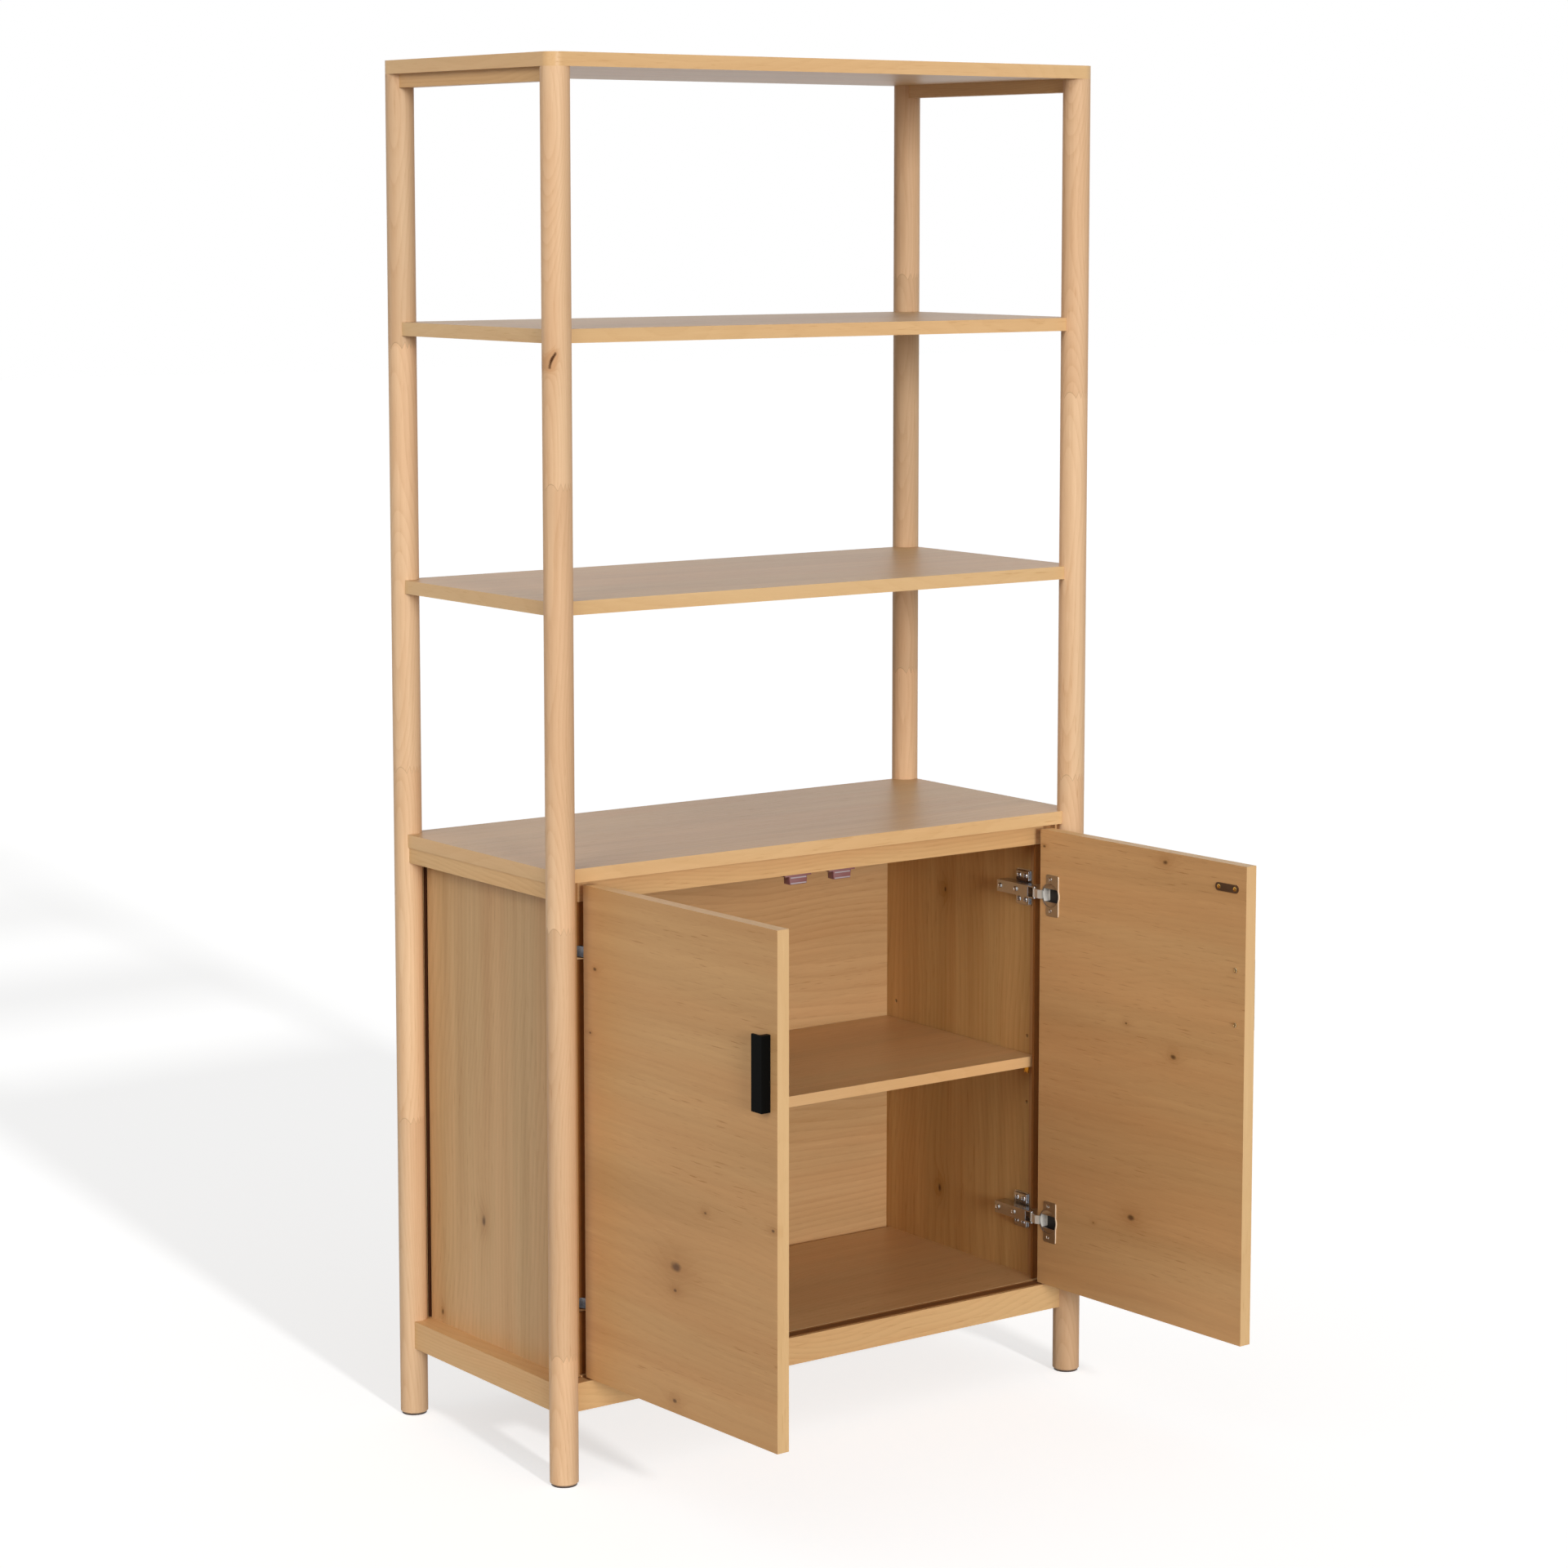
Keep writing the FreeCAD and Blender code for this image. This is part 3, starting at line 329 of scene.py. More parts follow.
# The light and the dark tone of each kind of piece
POST = srgb(228, 192, 153), srgb(200, 154, 112)
RAIL = srgb(226, 184, 130), srgb(201, 153, 100)
BOARD = srgb(214, 174, 124), srgb(178, 134, 86)
UPPER_SHELF = srgb(200, 163, 116), srgb(166, 125, 80)
BAND = srgb(228, 188, 136), srgb(206, 160, 106)
LIPPING = srgb(190, 144, 96), srgb(160, 112, 66)
BACK = srgb(208, 169, 122), srgb(172, 130, 82)
# The right side panel has a deeper, less blue colour than the left, a painted shade for its face inside the
# cupboard; the right door has a slightly lighter colour than the left, a painted light on its inner face
PANEL = {"left": BACK, "right": (srgb(206, 164, 108), srgb(168, 124, 66))}
DOOR = {"left": (srgb(206, 160, 108), srgb(174, 126, 76)), "right": (srgb(211, 165, 113), srgb(179, 131, 81))}
BEECH = srgb(226, 196, 152), srgb(206, 172, 126)

# Heights of the posts' finger joints
POST_JOINTS = {
    "post_front_left": (0.178, 0.740, 1.310),
    "post_back_left": (0.420, 0.905, 1.478),
    "post_front_right": (0.330, 0.865, 1.402),
    "post_back_right": (0.255, 0.980, 1.560),
}

# Knots: along the grain, across it, core radius, halo radius, face. The post's row reads as one long streak
POST_KNOTS = {"post_front_left": tuple((1.456 + 0.0025 * step, -0.0165 + 0.0001 * step * step, 0.0019, 0.004, 0)
                                       for step in range(8))}
PANEL_KNOTS = {
    "left": ((0.299, 0.038, 0.0065, 0.020, 1), (0.149, 0.147, 0.004, 0.010, 1)),
    "right": ((0.221, 0.056, 0.0050, 0.016, 1), (0.668, 0.046, 0.0030, 0.016, 1)),
}
DOOR_KNOTS = {
    "left": ((0.198, 0.327, 0.0085, 0.036, 1), (0.196, 0.297, 0.0030, 0.010, 1),
             (0.194, 0.153, 0.0035, 0.014, 1), (0.259, 0.410, 0.0028, 0.008, 1),
             (0.396, 0.416, 0.0026, 0.008, 1), (0.025, 0.683, 0.0032, 0.008, 1),
             (0.014, 0.598, 0.0018, 0.006, 1)),
    "right": ((0.250, 0.775, 0.0045, 0.014, 1), (0.191, 0.270, 0.0055, 0.018, 1),
              (0.270, 0.510, 0.0045, 0.012, 1), (0.177, 0.541, 0.0022, 0.007, 1),
              (0.008, 0.766, 0.0024, 0.007, 1), (0.115, 0.247, 0.0016, 0.004, 1)),
}

# Seeds, which say where in the wood each board's grain is taken
BOARD_SEEDS = {"top_board": 5.0, "shelf_upper": 6.2, "shelf_lower": 7.7, "deck_board": 8.4, "inner_shelf": 9.3,
               "floor_panel": 10.6}
DOOR_SEEDS = {"left": 30.2, "right": 33.8}


# The doors as they stand open: degrees from shut, the hinges' pole, and where the outer hinge corner lies from
# the pole when the door is shut
OPENINGS = {"left": 87.9, "right": 92.3}
POLE_X, POLE_Y = 0.39625, -0.0065
CORNER_X, CORNER_Y = 0.00975, 0.00375
DOOR_THICK = 0.018
HINGE_HEIGHTS = (0.229, 0.6975)


def door_axes(side):
    """Where a door's outer hinge corner stands, and which way the door runs from there."""
    way = SIDES[side]
    pole = Vector((way * POLE_X, POLE_Y, 0.0))
    arm = Vector((way * CORNER_X, CORNER_Y, 0.0))
    turn = way * math.radians(OPENINGS[side])
    corner = pole + Vector((arm.x * math.cos(turn) - arm.y * math.sin(turn),
                            arm.x * math.sin(turn) + arm.y * math.cos(turn), 0.0))
    return corner, Vector((-way * math.cos(turn), -way * math.sin(turn), 0.0))


def door_inward(side):
    """The direction from a door's outer face to its inner face."""
    return door_axes(side)[1].cross(Vector(Z)) * SIDES[side]


def door_spot(side, far, deep, height):
    """A point by its distance from the door's hinge edge, its depth behind the outer face, and its height."""
    corner, along = door_axes(side)
    return corner + along * far + door_inward(side) * deep + Vector((0.0, 0.0, height))


def wood_materials():
    made = {}
    for number, (name, joints) in enumerate(sorted(POST_JOINTS.items())):
        low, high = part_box(name)
        middle = ((low.x + high.x) / 2, (low.y + high.y) / 2, 0.0)
        made[name] = oak(name, Z, X, *POST, seed=1.0 + number, origin=middle, ring=0.0042, depth=0.03,
                         contrast=0.24, fleck=0.9, streak=1.5, rough=0.46, joints=joints,
                         knots=POST_KNOTS.get(name, ()), specular=0.12)
    for name, seed in BOARD_SEEDS.items():
        tones = UPPER_SHELF if name == "shelf_upper" else BOARD
        made[name] = oak(name, X, Y, *tones, seed=seed, band=BAND, ring=0.009, depth=0.07, contrast=0.14,
                         fleck=1.3, rough=0.38, specular=0.40)
    side_rails = (("top_rail", 12.1, 0.005), ("deck_rail", 14.4, 0.005), ("base_rail", 16.2, 0.006))
    for number, side in enumerate(SIDES):
        for part, seed, ring in side_rails:
            name = f"{part}_{side}"
            made[name] = oak(name, Y, Z, *RAIL, seed=seed + number, ring=ring)
        name = f"side_lipping_{side}"
        made[name] = oak(name, Z, Y, *LIPPING, seed=18.5 + number, ring=0.005, specular=0.15)
    for number, end in enumerate(("front", "back")):
        for part, seed in (("deck_rail", 20.3), ("base_rail", 22.9)):
            name = f"{part}_{end}"
            made[name] = oak(name, X, Z, *RAIL, seed=seed + number, ring=0.006)
    for side, seed, depth, specular in (("left", 24.6, 0.04, 0.25), ("right", 25.9, 0.05, 0.10)):
        name = f"side_panel_{side}"
        made[name] = oak(name, Z, Y, *PANEL[side], seed=seed, origin=(SIDES[side] * 0.3995, 0.19225, 0.0),
                         ring=0.010, depth=depth, contrast=0.20, fleck=1.2, streak=1.6,
                         knots=PANEL_KNOTS[side], specular=specular)
    made["back_panel"] = oak("back_panel", X, Z, *BACK, seed=27.35, ring=0.013, depth=0.06, contrast=0.24,
                             fleck=1.2)
    for side, seed in DOOR_SEEDS.items():
        name = f"door_{side}"
        made[name] = oak(name, door_axes(side)[1], Z, *DOOR[side], seed=seed,
                         origin=door_spot(side, 0.0, DOOR_THICK / 2, 0.0), band=BAND, ring=0.012, depth=0.06,
                         contrast=0.09, fleck=1.5, knots=DOOR_KNOTS[side])
    beech = oak("beech", X, Y, *BEECH, seed=40.0, ring=0.004, contrast=0.2, fleck=0.3)
    for name in ("frame_dowels", "shelf_dowels", "panel_dowels"):
        made[name] = beech
    return made


# Materials of metal and plastic

NICKEL = srgb(186, 187, 190)
# Painted shade for the outer cheeks of the hinge arms' front ends
CHEEK_SHADE = srgb(52, 32, 20)
# Painted shade inside the cups, the pale steel of their near walls, and a painted highlight on the flanges' far
# edges
CUP_PAINTED_SHADE, CUP_WALL, FLANGE_PAINTED_HIGHLIGHT = srgb(44, 38, 33), srgb(218, 212, 203), srgb(240, 222, 196)

# The arms' outer cheeks lie beyond CHEEK from the middle, and the painted shade on them fades between two depths
CHEEK = 0.3884
CHEEK_SHADE_DEPTHS = 0.020, 0.026

# Distances from a door's hinge edge: where a cup's near wall ends, and where its flange's far edge begins
WALL_END, FLANGE_EDGE = 0.0085, 0.0377


def hard_materials():
    nickel = plain("nickel_steel", NICKEL, 0.22, 0.04, 600.0, metal=1.0)
    bright = plain("bright_steel", srgb(205, 200, 192), 0.24, 0.05, 700.0, metal=1.0)
    brass = plain("brass", srgb(212, 170, 92), 0.26, 0.05, 700.0, metal=1.0)
    bronze = plain("bronzed_steel", srgb(138, 118, 98), 0.36, 0.08, 800.0, metal=1.0)
    black = plain("black_metal", srgb(13, 13, 12), 0.36, 0.20, 2600.0, Specular_IOR_Level=0.02)
    glide = plain("glide_plastic", srgb(58, 44, 36), 0.5, 0.1, 1500.0)
    catch = plain("catch_plastic", srgb(134, 86, 86), 0.34, 0.06, 1200.0, Coat_Weight=0.3)
    magnet = plain("magnet", srgb(46, 44, 44), 0.55, 0.2, 1800.0, metal=0.6)
    pole = plain("pole_steel", srgb(176, 164, 168), 0.40, 0.05, 700.0, metal=0.8)
    pale = plain("pale_brass", srgb(216, 196, 156), 0.26, 0.05, 700.0, metal=1.0)
    strap = plain("link_steel", srgb(214, 208, 196), 0.42, 0.06, 700.0, metal=0.7)
    made = {"foot_glides": glide, "catch_left": catch, "catch_right": catch, "catch_magnets": magnet,
            "catch_pole_plates": pole, "catch_screws": bright, "back_panel_screws": bright, "shelf_pins": brass,
            "hinge_link_pins": bright, "hinge_arm_screws": bright, "hinge_plate_screws": bright}
    for side in SIDES:
        made[f"hinge_plates_{side}"] = nickel
        made[f"hinge_arms_{side}"] = arm_material(side)
        made[f"hinge_links_{side}"] = strap
        made[f"hinge_cups_{side}"] = cup_material(side)
        made[f"handle_{side}"] = black
        made[f"handle_screws_{side}"] = pale
        made[f"cup_screws_{side}"] = bright
        made[f"strike_plate_{side}"] = bronze
        made[f"strike_screws_{side}"] = brass
    return made


def arm_material(side):
    """Nickel, with painted shade on the outer cheek of the arm's front end: dark, rough and not metallic there.
    """
    material, g = new_material(f"hinge_arm_{side}")
    place = g.tree.nodes.new("ShaderNodeTexCoord").outputs["Object"]
    x, y = g.split(place)[:2]
    outer = g.math("GREATER_THAN", g.math("ABSOLUTE", x), CHEEK)
    # Painted shade on the outer cheek at the front end, fading out further back
    painted_shade = g.times(outer, g.ramp(y, *CHEEK_SHADE_DEPTHS, 1.0, 0.0))
    mottle = g.noise(place, detail=3.0, scale=600.0)
    shade = g.mix(painted_shade, g.mix(mottle, srgb(180, 181, 184), srgb(192, 193, 196)), CHEEK_SHADE)
    gloss = g.total(0.20, g.times(painted_shade, 0.40), g.times(mottle, 0.04))
    finish_material(g, shade, gloss, fine_relief(g, 0.04, mottle), NICKEL,
                    Metallic=g.math("SUBTRACT", 1.0, painted_shade))
    return material


def cup_material(side):
    """Nickel with a painted highlight on the flange's far edge. Inside, the cup's near wall is pale steel and the
    rest is painted shade.
    """
    material, g = new_material(f"hinge_cup_{side}")
    place = g.tree.nodes.new("ShaderNodeTexCoord").outputs["Object"]
    way = door_inward(side)
    level = way.dot(door_spot(side, 0.0, DOOR_THICK - 0.0002, 0.0))
    inside = g.math("LESS_THAN", g.vector("DOT_PRODUCT", place, tuple(way)), level)
    corner, along = door_axes(side)
    far = g.math("SUBTRACT", g.vector("DOT_PRODUCT", place, tuple(along)), along.dot(corner))
    wall = g.times(inside, g.math("LESS_THAN", far, WALL_END))
    rim = g.times(g.math("SUBTRACT", 1.0, inside), g.math("GREATER_THAN", far, FLANGE_EDGE))
    # Painted shade inside the cup, and a painted highlight along the flange's far edge
    shade = g.mix(inside, NICKEL, g.mix(wall, CUP_PAINTED_SHADE, CUP_WALL))
    shade = g.mix(rim, shade, FLANGE_PAINTED_HIGHLIGHT)
    mottle = g.noise(place, detail=3.0, scale=600.0)
    matt = g.total(g.times(inside, 0.8), g.times(wall, 0.2), rim)
    finish_material(g, shade, g.total(0.20, g.times(inside, 0.35)), fine_relief(g, 0.04, mottle),
                    srgb(196, 190, 182), Metallic=g.math("SUBTRACT", 1.0, matt))
    return material


# Softened edges and smooth round faces

SMOOTH_BELOW, EASE_ABOVE = math.radians(34), math.radians(38)


def smooth_group():
    """Smooth shading, but for the edges that turn further than the limit."""
    group = bpy.data.node_groups.new("smooth_by_angle", "GeometryNodeTree")
    group.interface.new_socket("Geometry", in_out="INPUT", socket_type="NodeSocketGeometry")
    group.interface.new_socket("Geometry", in_out="OUTPUT", socket_type="NodeSocketGeometry")
    start = group.nodes.new("NodeGroupInput")
    every = group.nodes.new("GeometryNodeSetShadeSmooth")
    every.domain = "FACE"
    sharp = group.nodes.new("GeometryNodeSetShadeSmooth")
    sharp.domain = "EDGE"
    sharp.inputs["Shade Smooth"].default_value = False
    angle = group.nodes.new("GeometryNodeInputMeshEdgeAngle")
    limit = group.nodes.new("FunctionNodeCompare")
    limit.inputs[1].default_value = SMOOTH_BELOW
    end = group.nodes.new("NodeGroupOutput")
    group.links.new(start.outputs[0], every.inputs["Geometry"])
    group.links.new(every.outputs[0], sharp.inputs["Geometry"])
    group.links.new(angle.outputs[0], limit.inputs[0])
    group.links.new(limit.outputs[0], sharp.inputs["Selection"])
    group.links.new(sharp.outputs[0], end.inputs[0])
    return group


SMOOTH = smooth_group()

# Widths of the softened edges. The other wooden pieces have WOOD_BEVEL and the other hard ones none
WOOD_BEVEL = 0.0009
PAIR_BEVELS = {"handle": 0.0007, "hinge_cups": 0.0003, "hinge_arms": 0.0004, "strike_plate": 0.0003}
BEVELS = {f"{part}_{side}": width for part, width in PAIR_BEVELS.items() for side in SIDES}
BEVELS.update(top_board=0.0016, frame_dowels=0.0, shelf_dowels=0.0, panel_dowels=0.0)


def ease(thing, width):
    bevel = thing.modifiers.new("eased", "BEVEL")
    bevel.width = width
    bevel.segments = 3
    bevel.limit_method = "ANGLE"
    bevel.angle_limit = EASE_ABOVE


def dress(name, material):
    thing = NODES[name]
    thing.data.materials.clear()
    thing.data.materials.append(material)
    width = BEVELS.get(name, WOOD_BEVEL if material.name.startswith("oak_") else 0.0)
    if width:
        ease(thing, width)
    thing.modifiers.new("smooth", "NODES").node_group = SMOOTH
    thing.modifiers.new("weighted", "WEIGHTED_NORMAL").keep_sharp = True


MATERIALS = {**wood_materials(), **hard_materials()}
for key, value in MATERIALS.items():
    dress(key, value)


# Small pieces: screw heads, hinge details, strips, catches

def add_piece(name, vertices, faces, material, body, slot, eased=0.0):
    """A new mesh that moves with one body. Its faces are turned outwards whatever order their points have."""
    mesh = bpy.data.meshes.new(name)
    mesh.from_pydata([tuple(vertex) for vertex in vertices], [], faces)
    mesh.materials.append(material)
    work = bmesh.new()
    work.from_mesh(mesh)
    bmesh.ops.recalc_face_normals(work, faces=work.faces)
    work.to_mesh(mesh)
    work.free()
    piece = bpy.data.objects.new(name, mesh)
    bpy.context.scene.collection.objects.link(piece)
    if eased:
        ease(piece, eased)
    piece.modifiers.new("smooth", "NODES").node_group = SMOOTH
    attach(piece, body)
    return piece


def join_lists(parts):
    """Several lists of vertices and faces as one."""
    vertices, faces = [], []
    for more, rows in parts:
        faces += [[number + len(vertices) for number in row] for row in rows]
        vertices += more
    return vertices, faces


def prism_lists(first, second):
    """A closed solid between two outlines that have as many points each."""
    count = len(first)
    faces = [list(range(count)), list(range(count, 2 * count))[::-1]]
    for step in range(count):
        after = (step + 1) % count
        faces.append([step, count + step, count + after, after])
    return first + second, faces


def box_lists(x_range, y_range, z_range):
    """A box, each range given from either end."""
    (x1, x2), (z1, z2) = x_range, z_range
    ends = [[Vector((x, y, z)) for x, z in ((x1, z1), (x2, z1), (x2, z2), (x1, z2))] for y in y_range]
    return prism_lists(*ends)


# A dome's mesh, and its cross recess as shares of the radius
DOME_RINGS, DOME_SPOKES = 12, 40
CROSS_WIDE, CROSS_LONG = 0.10, 0.62


def dome_lists(centre, normal, radius, rise, sink=0.0006, cross=0.0006):
    """A domed disc with a cross recess of the given depth, closed by a skirt that sinks into what carries it."""
    normal = Vector(normal).normalized()
    first = normal.orthogonal().normalized()
    second = normal.cross(first)
    turns = [2 * math.pi * spoke / DOME_SPOKES for spoke in range(DOME_SPOKES)]
    vertices = [centre + normal * (rise - cross)]
    for ring in range(1, DOME_RINGS + 1):
        share = ring / DOME_RINGS
        for turn in turns:
            x, y = share * math.cos(turn), share * math.sin(turn)
            height = rise * (1 - share ** 3)
            if min(abs(x), abs(y)) < CROSS_WIDE and share < CROSS_LONG:
                height -= cross
            vertices.append(centre + (first * x + second * y) * radius + normal * height)
    for turn in turns:
        vertices.append(centre + (first * math.cos(turn) + second * math.sin(turn)) * radius - normal * sink)
    faces = [[0, 1 + spoke, 1 + (spoke + 1) % DOME_SPOKES] for spoke in range(DOME_SPOKES)]
    for ring in range(DOME_RINGS):
        start = 1 + ring * DOME_SPOKES
        for spoke in range(DOME_SPOKES):
            after = (spoke + 1) % DOME_SPOKES
            faces.append([start + spoke, start + DOME_SPOKES + spoke, start + DOME_SPOKES + after, start + after])
    skirt = 1 + DOME_RINGS * DOME_SPOKES
    faces.append(list(range(skirt, skirt + DOME_SPOKES))[::-1])
    return vertices, faces


def islands(name):
    """The separate solids of a CAD node, each as the list of its points."""
    mesh = NODES[name].data
    group = list(range(len(mesh.vertices)))

    def root(number):
        while group[number] != number:
            group[number] = group[group[number]]
            number = group[number]
        return number

    spots = {}
    for vertex in mesh.vertices:
        key = tuple(round(value, 6) for value in vertex.co)
        group[vertex.index] = spots.setdefault(key, vertex.index)
    for edge in mesh.edges:
        one, other = root(edge.vertices[0]), root(edge.vertices[1])
        group[one] = other
    found = {}
    for vertex in mesh.vertices:
        found.setdefault(root(vertex.index), []).append(NODES[name].matrix_world @ vertex.co)
    return list(found.values())


# How far below a screw's top its end face and its whole head reach
END_LAYER, HEAD_LAYER = 0.0001, 0.0025


def head_spots(name, normal):
    """Where each screw's head ends, on its axis, and the head's radius."""
    normal = Vector(normal).normalized()
    result = []
    for points in islands(name):
        top = max(point.dot(normal) for point in points)
        end = [point for point in points if top - point.dot(normal) < END_LAYER]
        middle = sum(end, Vector()) / len(end)
        head = [point for point in points if top - point.dot(normal) < HEAD_LAYER]
        radius = max((point - middle - normal * (point - middle).dot(normal)).length for point in head)
        result.append((middle, radius))
    return result


def add_screw_heads():
    bright, brass, pale = (MATERIALS[name] for name in ("catch_screws", "shelf_pins", "handle_screws_left"))
    jobs = [("back_panel_screws", Vector(Y), 0.0004, bright, "carcass", "screw_steel")]
    for side in SIDES:
        inward = door_inward(side)
        jobs.append((f"cup_screws_{side}", inward, 0.0007, bright, f"{side}_door", "screw_steel"))
        jobs.append((f"strike_screws_{side}", inward, 0.0005, brass, f"{side}_door", "brass"))
        jobs.append((f"handle_screws_{side}", inward, 0.0006, pale, f"{side}_door", "brass"))
    for name, normal, rise, material, body, slot in jobs:
        parts = [dome_lists(middle, normal, radius * 0.94, rise) for middle, radius in head_spots(name, normal)]
        add_piece(f"{name}_heads", *join_lists(parts), material, body, slot)
    # The arms' screws face the middle from both sides
    parts = []
    for points in islands("hinge_arm_screws"):
        way = 1 if points[0].x > 0 else -1
        edge = min(abs(point.x) for point in points)
        head = [point for point in points if abs(point.x) < edge + 0.0002]
        middle = sum(head, Vector()) / len(head)
        radius = max((point - middle).length for point in head)
        parts.append(dome_lists(middle, (-way, 0, 0), radius * 0.96, 0.0006))
    add_piece("hinge_arm_screw_heads", *join_lists(parts), bright, "carcass", "screw_steel")


# Raised pads and bolts on the wings of the hinge plates: across, in depth, and from the hinge's height
PAD_X, PAD_Y, PAD_UP = (0.3868, 0.3902), (0.0430, 0.0712), (0.0100, 0.0240)
BOLT_X, BOLT_Y, BOLT_UP = 0.3869, (0.0500, 0.0640), 0.0170
BOLT_RADIUS, BOLT_RISE, BOLT_CROSS = 0.0042, 0.0018, 0.0008

# Covers of the cups: the cup's middle from the hinge edge, the radius, and half the gap between the two
CUP_MIDDLE, COVER_RADIUS, COVER_GAP, COVER_STEPS = 0.022, 0.0164, 0.0092, 20
COVER_BELOW, COVER_ABOVE = 0.0004, 0.0008


def add_hinge_details():
    nickel = MATERIALS["hinge_plates_left"]
    for side, way in SIDES.items():
        pads, domes, covers = [], [], []
        for height in HINGE_HEIGHTS:
            for level in (-1, 1):
                pads.append(box_lists([way * x for x in PAD_X], PAD_Y, [height + level * up for up in PAD_UP]))
                for depth in BOLT_Y:
                    spot = Vector((way * BOLT_X, depth, height + level * BOLT_UP))
                    domes.append(dome_lists(spot, (-way, 0, 0), BOLT_RADIUS, BOLT_RISE, cross=BOLT_CROSS))
                covers.append(cup_cover(side, height, level))
        add_piece(f"hinge_wing_pads_{side}", *join_lists(pads), nickel, "carcass", "nickel_steel", eased=0.0011)
        add_piece(f"hinge_wing_bolts_{side}", *join_lists(domes), nickel, "carcass", "nickel_steel")
        add_piece(f"hinge_cup_covers_{side}", *join_lists(covers), nickel, f"{side}_door", "nickel_steel",
                  eased=0.0002)


def cup_cover(side, height, level):
    """One of the two pressed plates that close a cup above and below the way of its link."""
    start = math.asin(COVER_GAP / COVER_RADIUS)
    turns = [start + (math.pi - 2 * start) * step / COVER_STEPS for step in range(COVER_STEPS + 1)]
    outlines = [[door_spot(side, CUP_MIDDLE + COVER_RADIUS * math.cos(turn), depth,
                           height + level * COVER_RADIUS * math.sin(turn)) for turn in turns]
                for depth in (DOOR_THICK - COVER_BELOW, DOOR_THICK + COVER_ABOVE)]
    return prism_lists(*outlines)


# Strips of painted shade: across and in depth, the hinges' half notch, and how far they stay clear of what is
# above and below
FRONT_SHADE_X, FRONT_SHADE_Y = (0.3800, 0.3922), (0.0208, 0.0246)
REAR_X, REAR_Y = (0.4022, 0.4085), (0.3735, 0.3761)
HINGE_NOTCH, CLEAR = 0.0096, 0.0004

# The dark strip on the ledge: its half length, its front edge, and its thickness on the ledge and up the floor's
# edge
LEDGE_HALF, LEDGE_FRONT = 0.3905, 0.0012
LEDGE_THICK, LEDGE_UP = 0.0008, 0.0014


def strip_material(name, colour):
    return plain(name, colour, 0.85, 0.4, 1600.0, tint=0.16, Specular_IOR_Level=0.1)


def add_shade_strips():
    """Brown strips of painted shade behind the doors at the sides' front edges, broken at the hinges, and in the
    rear rebates.
    """
    brown = strip_material("front_shade_strip", srgb(142, 90, 44))
    dark = strip_material("back_shade_strip", srgb(74, 40, 20))
    levels = [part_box("floor_panel")[1].z + CLEAR]
    for height in HINGE_HEIGHTS:
        levels += [height - HINGE_NOTCH, height + HINGE_NOTCH]
    levels.append(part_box("deck_rail_front")[0].z - CLEAR)
    for side, way in SIDES.items():
        # Painted shade in the gaps beside the doors' hinge edges
        parts = [box_lists([way * x for x in FRONT_SHADE_X], FRONT_SHADE_Y, span) for span in zip(levels[::2], levels[1::2])]
        add_piece(f"front_shade_strip_{side}", *join_lists(parts), brown, "carcass", "glide_plastic", eased=0.0006)
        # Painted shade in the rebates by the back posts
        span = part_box(f"base_rail_{side}")[1].z + CLEAR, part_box(f"deck_rail_{side}")[0].z - CLEAR
        strip = box_lists([way * x for x in REAR_X], REAR_Y, span)
        add_piece(f"rear_shade_strip_{side}", *strip, dark, "carcass", "glide_plastic", eased=0.0004)


def add_ledge_dark_strip():
    """A thin brown strip on the ledge that the shut doors stand over, up against the floor's front edge."""
    brown = strip_material("ledge_strip", srgb(120, 78, 42))
    front, ledge = LEDGE_FRONT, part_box("base_rail_front")[1].z
    back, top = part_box("floor_panel")[0].y - 0.0002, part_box("floor_panel")[1].z - 0.0003
    lip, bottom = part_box("floor_panel")[0].y - LEDGE_UP, ledge - 0.0004
    outline = [(front, bottom), (back, bottom), (back, top), (lip, top), (lip, ledge + LEDGE_THICK),
               (front, ledge + LEDGE_THICK)]
    ends = [[Vector((x, y, z)) for y, z in outline] for x in (-LEDGE_HALF, LEDGE_HALF)]
    add_piece("ledge_dark_strip", *prism_lists(*ends), brown, "carcass", "glide_plastic", eased=0.0002)


# The catches' shells: in depth, the middle from the bookcase's middle, half widths of ears and body from above
# to below, and the heights of the ears' and the body's undersides
CATCH_Y, CATCH_MIDDLE = (0.01825, 0.03225), 0.0370
EAR_HALF, BODY_TOP_HALF, BODY_HALF = 0.0220, 0.0150, 0.0140
EAR_LEVEL, BODY_LEVEL = 0.7624, 0.7514


def add_catches():
    """Each catch as a narrow body under thin ears, with its two screws up through the ears."""
    for side, way in SIDES.items():
        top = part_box(f"catch_{side}")[1].z
        half = [(EAR_HALF, top), (EAR_HALF, EAR_LEVEL), (BODY_TOP_HALF, EAR_LEVEL), (BODY_HALF, BODY_LEVEL)]
        outline = half + [(-x, z) for x, z in half[::-1]]
        ends = [[Vector((way * (CATCH_MIDDLE + x), y, z)) for x, z in outline] for y in CATCH_Y]
        shell = add_piece(f"catch_shell_{side}", *prism_lists(*ends), MATERIALS["catch_left"], "carcass",
                          "catch_plastic", eased=0.0008)
        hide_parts(f"catch_{side}")
    screws = []
    for points in islands("catch_screws"):
        middle = sum(points, Vector()) / len(points)
        spot = Vector((middle.x, middle.y, EAR_LEVEL - 0.0001))
        screws.append(dome_lists(spot, (0, 0, -1), 0.0030, 0.0016, sink=0.0130, cross=0.0008))
    heads = add_piece("catch_screw_heads", *join_lists(screws), MATERIALS["catch_screws"], "carcass",
                      "screw_steel")
    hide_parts("catch_screws")


add_screw_heads()
add_hinge_details()
add_shade_strips()
add_ledge_dark_strip()
add_catches()


# Floor, light and camera

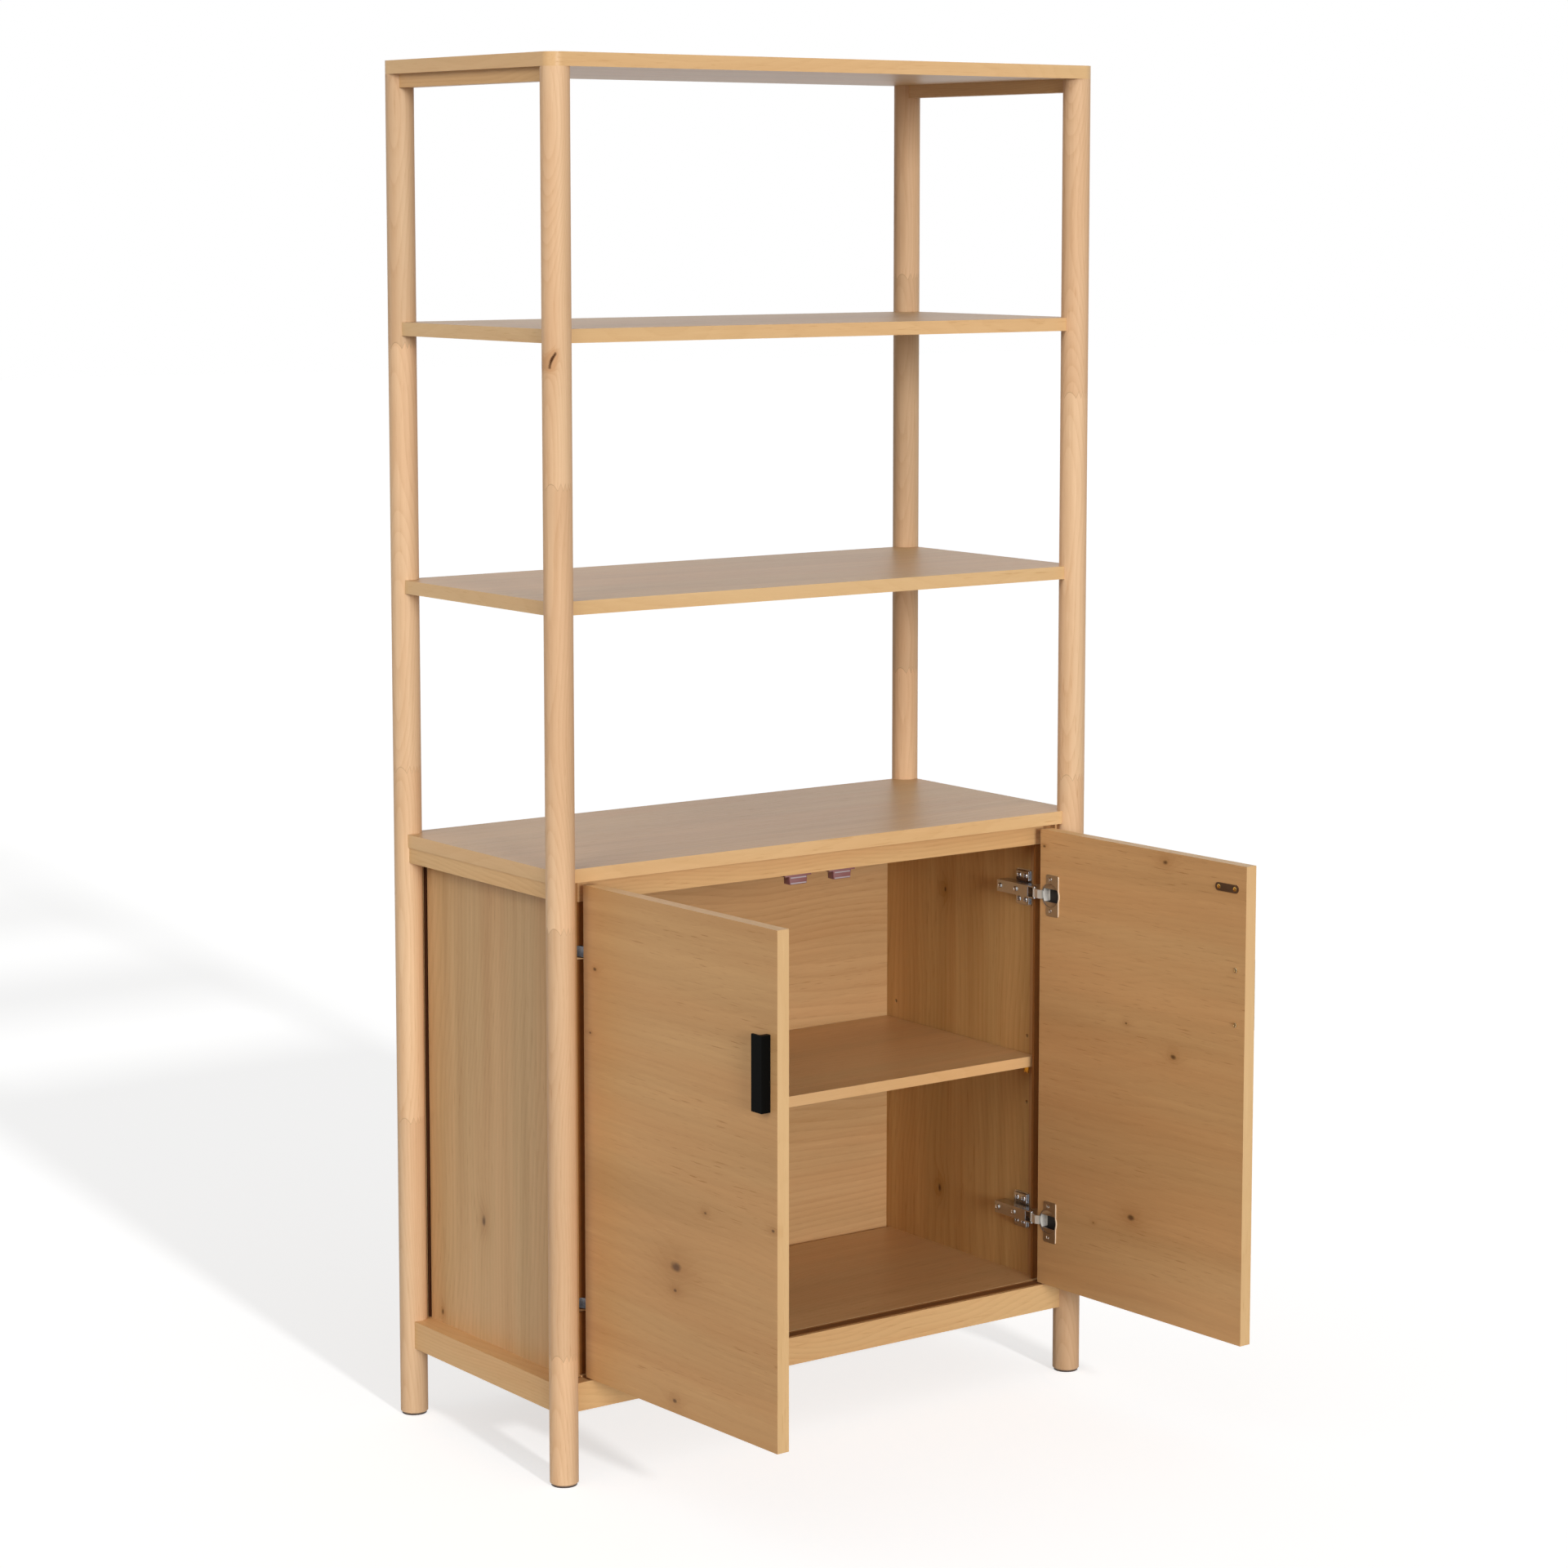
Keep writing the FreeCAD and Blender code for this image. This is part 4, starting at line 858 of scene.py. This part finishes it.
# Strength of the sky at the horizon, and how much it rises to the zenith
SKY_LOW, SKY_RISE = 0.15, 0.30

# The floor's half width in metres, its own glow and grey as it is seen, and its grey as it bounces light
FLOOR_REACH = 30
FLOOR_GLOW, FLOOR_SHADE, FLOOR_BOUNCE = 0.64, 0.70, 0.50

# Each lamp's name, the way its light goes seen from above, degrees downwards, degrees of spread, strength, and
# whether it lights the floor alone or all but the floor
LAMPS = (("key", (0.20, 0.98), 9.0, 20.0, 1.8, False),
         ("high", (0.13, 0.99), 20.0, 3.5, 1.85, True),
         ("side", (0.92, 0.38), 26.0, 36.0, 1.1, False))

# The camera as fitted to the photo: place, radians below level and round, lens and sensor in mm, upward shift
CAMERA_SPOT = (-3.1006, -4.1305, 1.6599)
CAMERA_DIP, CAMERA_TURN = 0.1171, -0.6323
LENS, SENSOR, SHIFT = 89.156, 36, -0.078125


def grey(level):
    return (level, level, level, 1)


def seen_directly(g):
    """1 for rays from the camera, also by way of a mirror or through glass, and 0 for all others."""
    path = g.tree.nodes.new("ShaderNodeLightPath").outputs
    bent = g.math("MAXIMUM", path["Is Glossy Ray"], path["Is Transmission Ray"])
    return g.math("MAXIMUM", path["Is Camera Ray"], bent)


def add_floor():
    mesh = bpy.data.meshes.new("floor")
    corners = [(x * FLOOR_REACH, y * FLOOR_REACH, 0) for x, y in ((-1, -1), (1, -1), (1, 1), (-1, 1))]
    mesh.from_pydata(corners, [], [(0, 1, 2, 3)])
    floor = bpy.data.objects.new("floor", mesh)
    bpy.context.scene.collection.objects.link(floor)
    material, g = new_material("pale_floor")
    glow = g.add("ShaderNodeEmission", {"Color": grey(1), "Strength": FLOOR_GLOW})
    shaded = g.add("ShaderNodeBsdfDiffuse", {"Color": grey(FLOOR_SHADE)})
    matt = g.add("ShaderNodeBsdfDiffuse", {"Color": grey(FLOOR_BOUNCE)})
    pale = g.add("ShaderNodeAddShader", {0: glow, 1: shaded})
    surface = g.add("ShaderNodeMixShader", {0: seen_directly(g), 1: matt, 2: pale})
    output = g.tree.nodes.new("ShaderNodeOutputMaterial")
    g.tree.links.new(surface, output.inputs["Surface"])
    mesh.materials.append(material)
    return floor


def add_world():
    """Soft light from above that the camera doesn't see: to it, the world is white."""
    world = bpy.data.worlds.new("studio")
    bpy.context.scene.world = world
    world.use_nodes = True
    world.node_tree.nodes.clear()
    g = Graph(world.node_tree)
    height = g.split(g.tree.nodes.new("ShaderNodeTexCoord").outputs["Generated"])[2]
    level = g.total(SKY_LOW, g.times(g.math("MAXIMUM", height, 0.0), SKY_RISE))
    soft = g.add("ShaderNodeBackground", {"Color": (1.0, 0.995, 0.985, 1), "Strength": level})
    white = g.add("ShaderNodeBackground", {"Color": grey(1), "Strength": 1.0})
    surface = g.add("ShaderNodeMixShader", {0: seen_directly(g), 1: soft, 2: white})
    output = g.tree.nodes.new("ShaderNodeOutputWorld")
    g.tree.links.new(surface, output.inputs["Surface"])


def add_lamp(floor, name, travel, downward, spread, strength, floor_only):
    """A wide lamp far off, which lights the floor alone or all but the floor."""
    light = bpy.data.lights.new(name, "SUN")
    light.energy = strength
    light.angle = math.radians(spread)
    lamp = bpy.data.objects.new(name, light)
    bpy.context.scene.collection.objects.link(lamp)
    way = Vector((*travel, 0.0)).normalized() * math.cos(math.radians(downward))
    way.z = -math.sin(math.radians(downward))
    lamp.rotation_euler = way.to_track_quat("-Z", "Y").to_euler()
    chosen = bpy.data.collections.new(f"chosen_by_{name}")
    chosen.objects.link(floor)
    chosen.collection_objects[0].light_linking.link_state = "INCLUDE" if floor_only else "EXCLUDE"
    lamp.light_linking.receiver_collection = chosen


def add_camera():
    camera = bpy.data.objects.new("camera", bpy.data.cameras.new("camera"))
    bpy.context.scene.collection.objects.link(camera)
    camera.location = CAMERA_SPOT
    camera.rotation_euler = (math.pi / 2 - CAMERA_DIP, 0.0, CAMERA_TURN)
    camera.data.sensor_width = SENSOR
    camera.data.lens = LENS
    camera.data.shift_y = SHIFT
    bpy.context.scene.camera = camera


stage_floor = add_floor()
add_world()
for row in LAMPS:
    add_lamp(stage_floor, *row)
add_camera()
bpy.context.scene.view_settings.view_transform = "Standard"
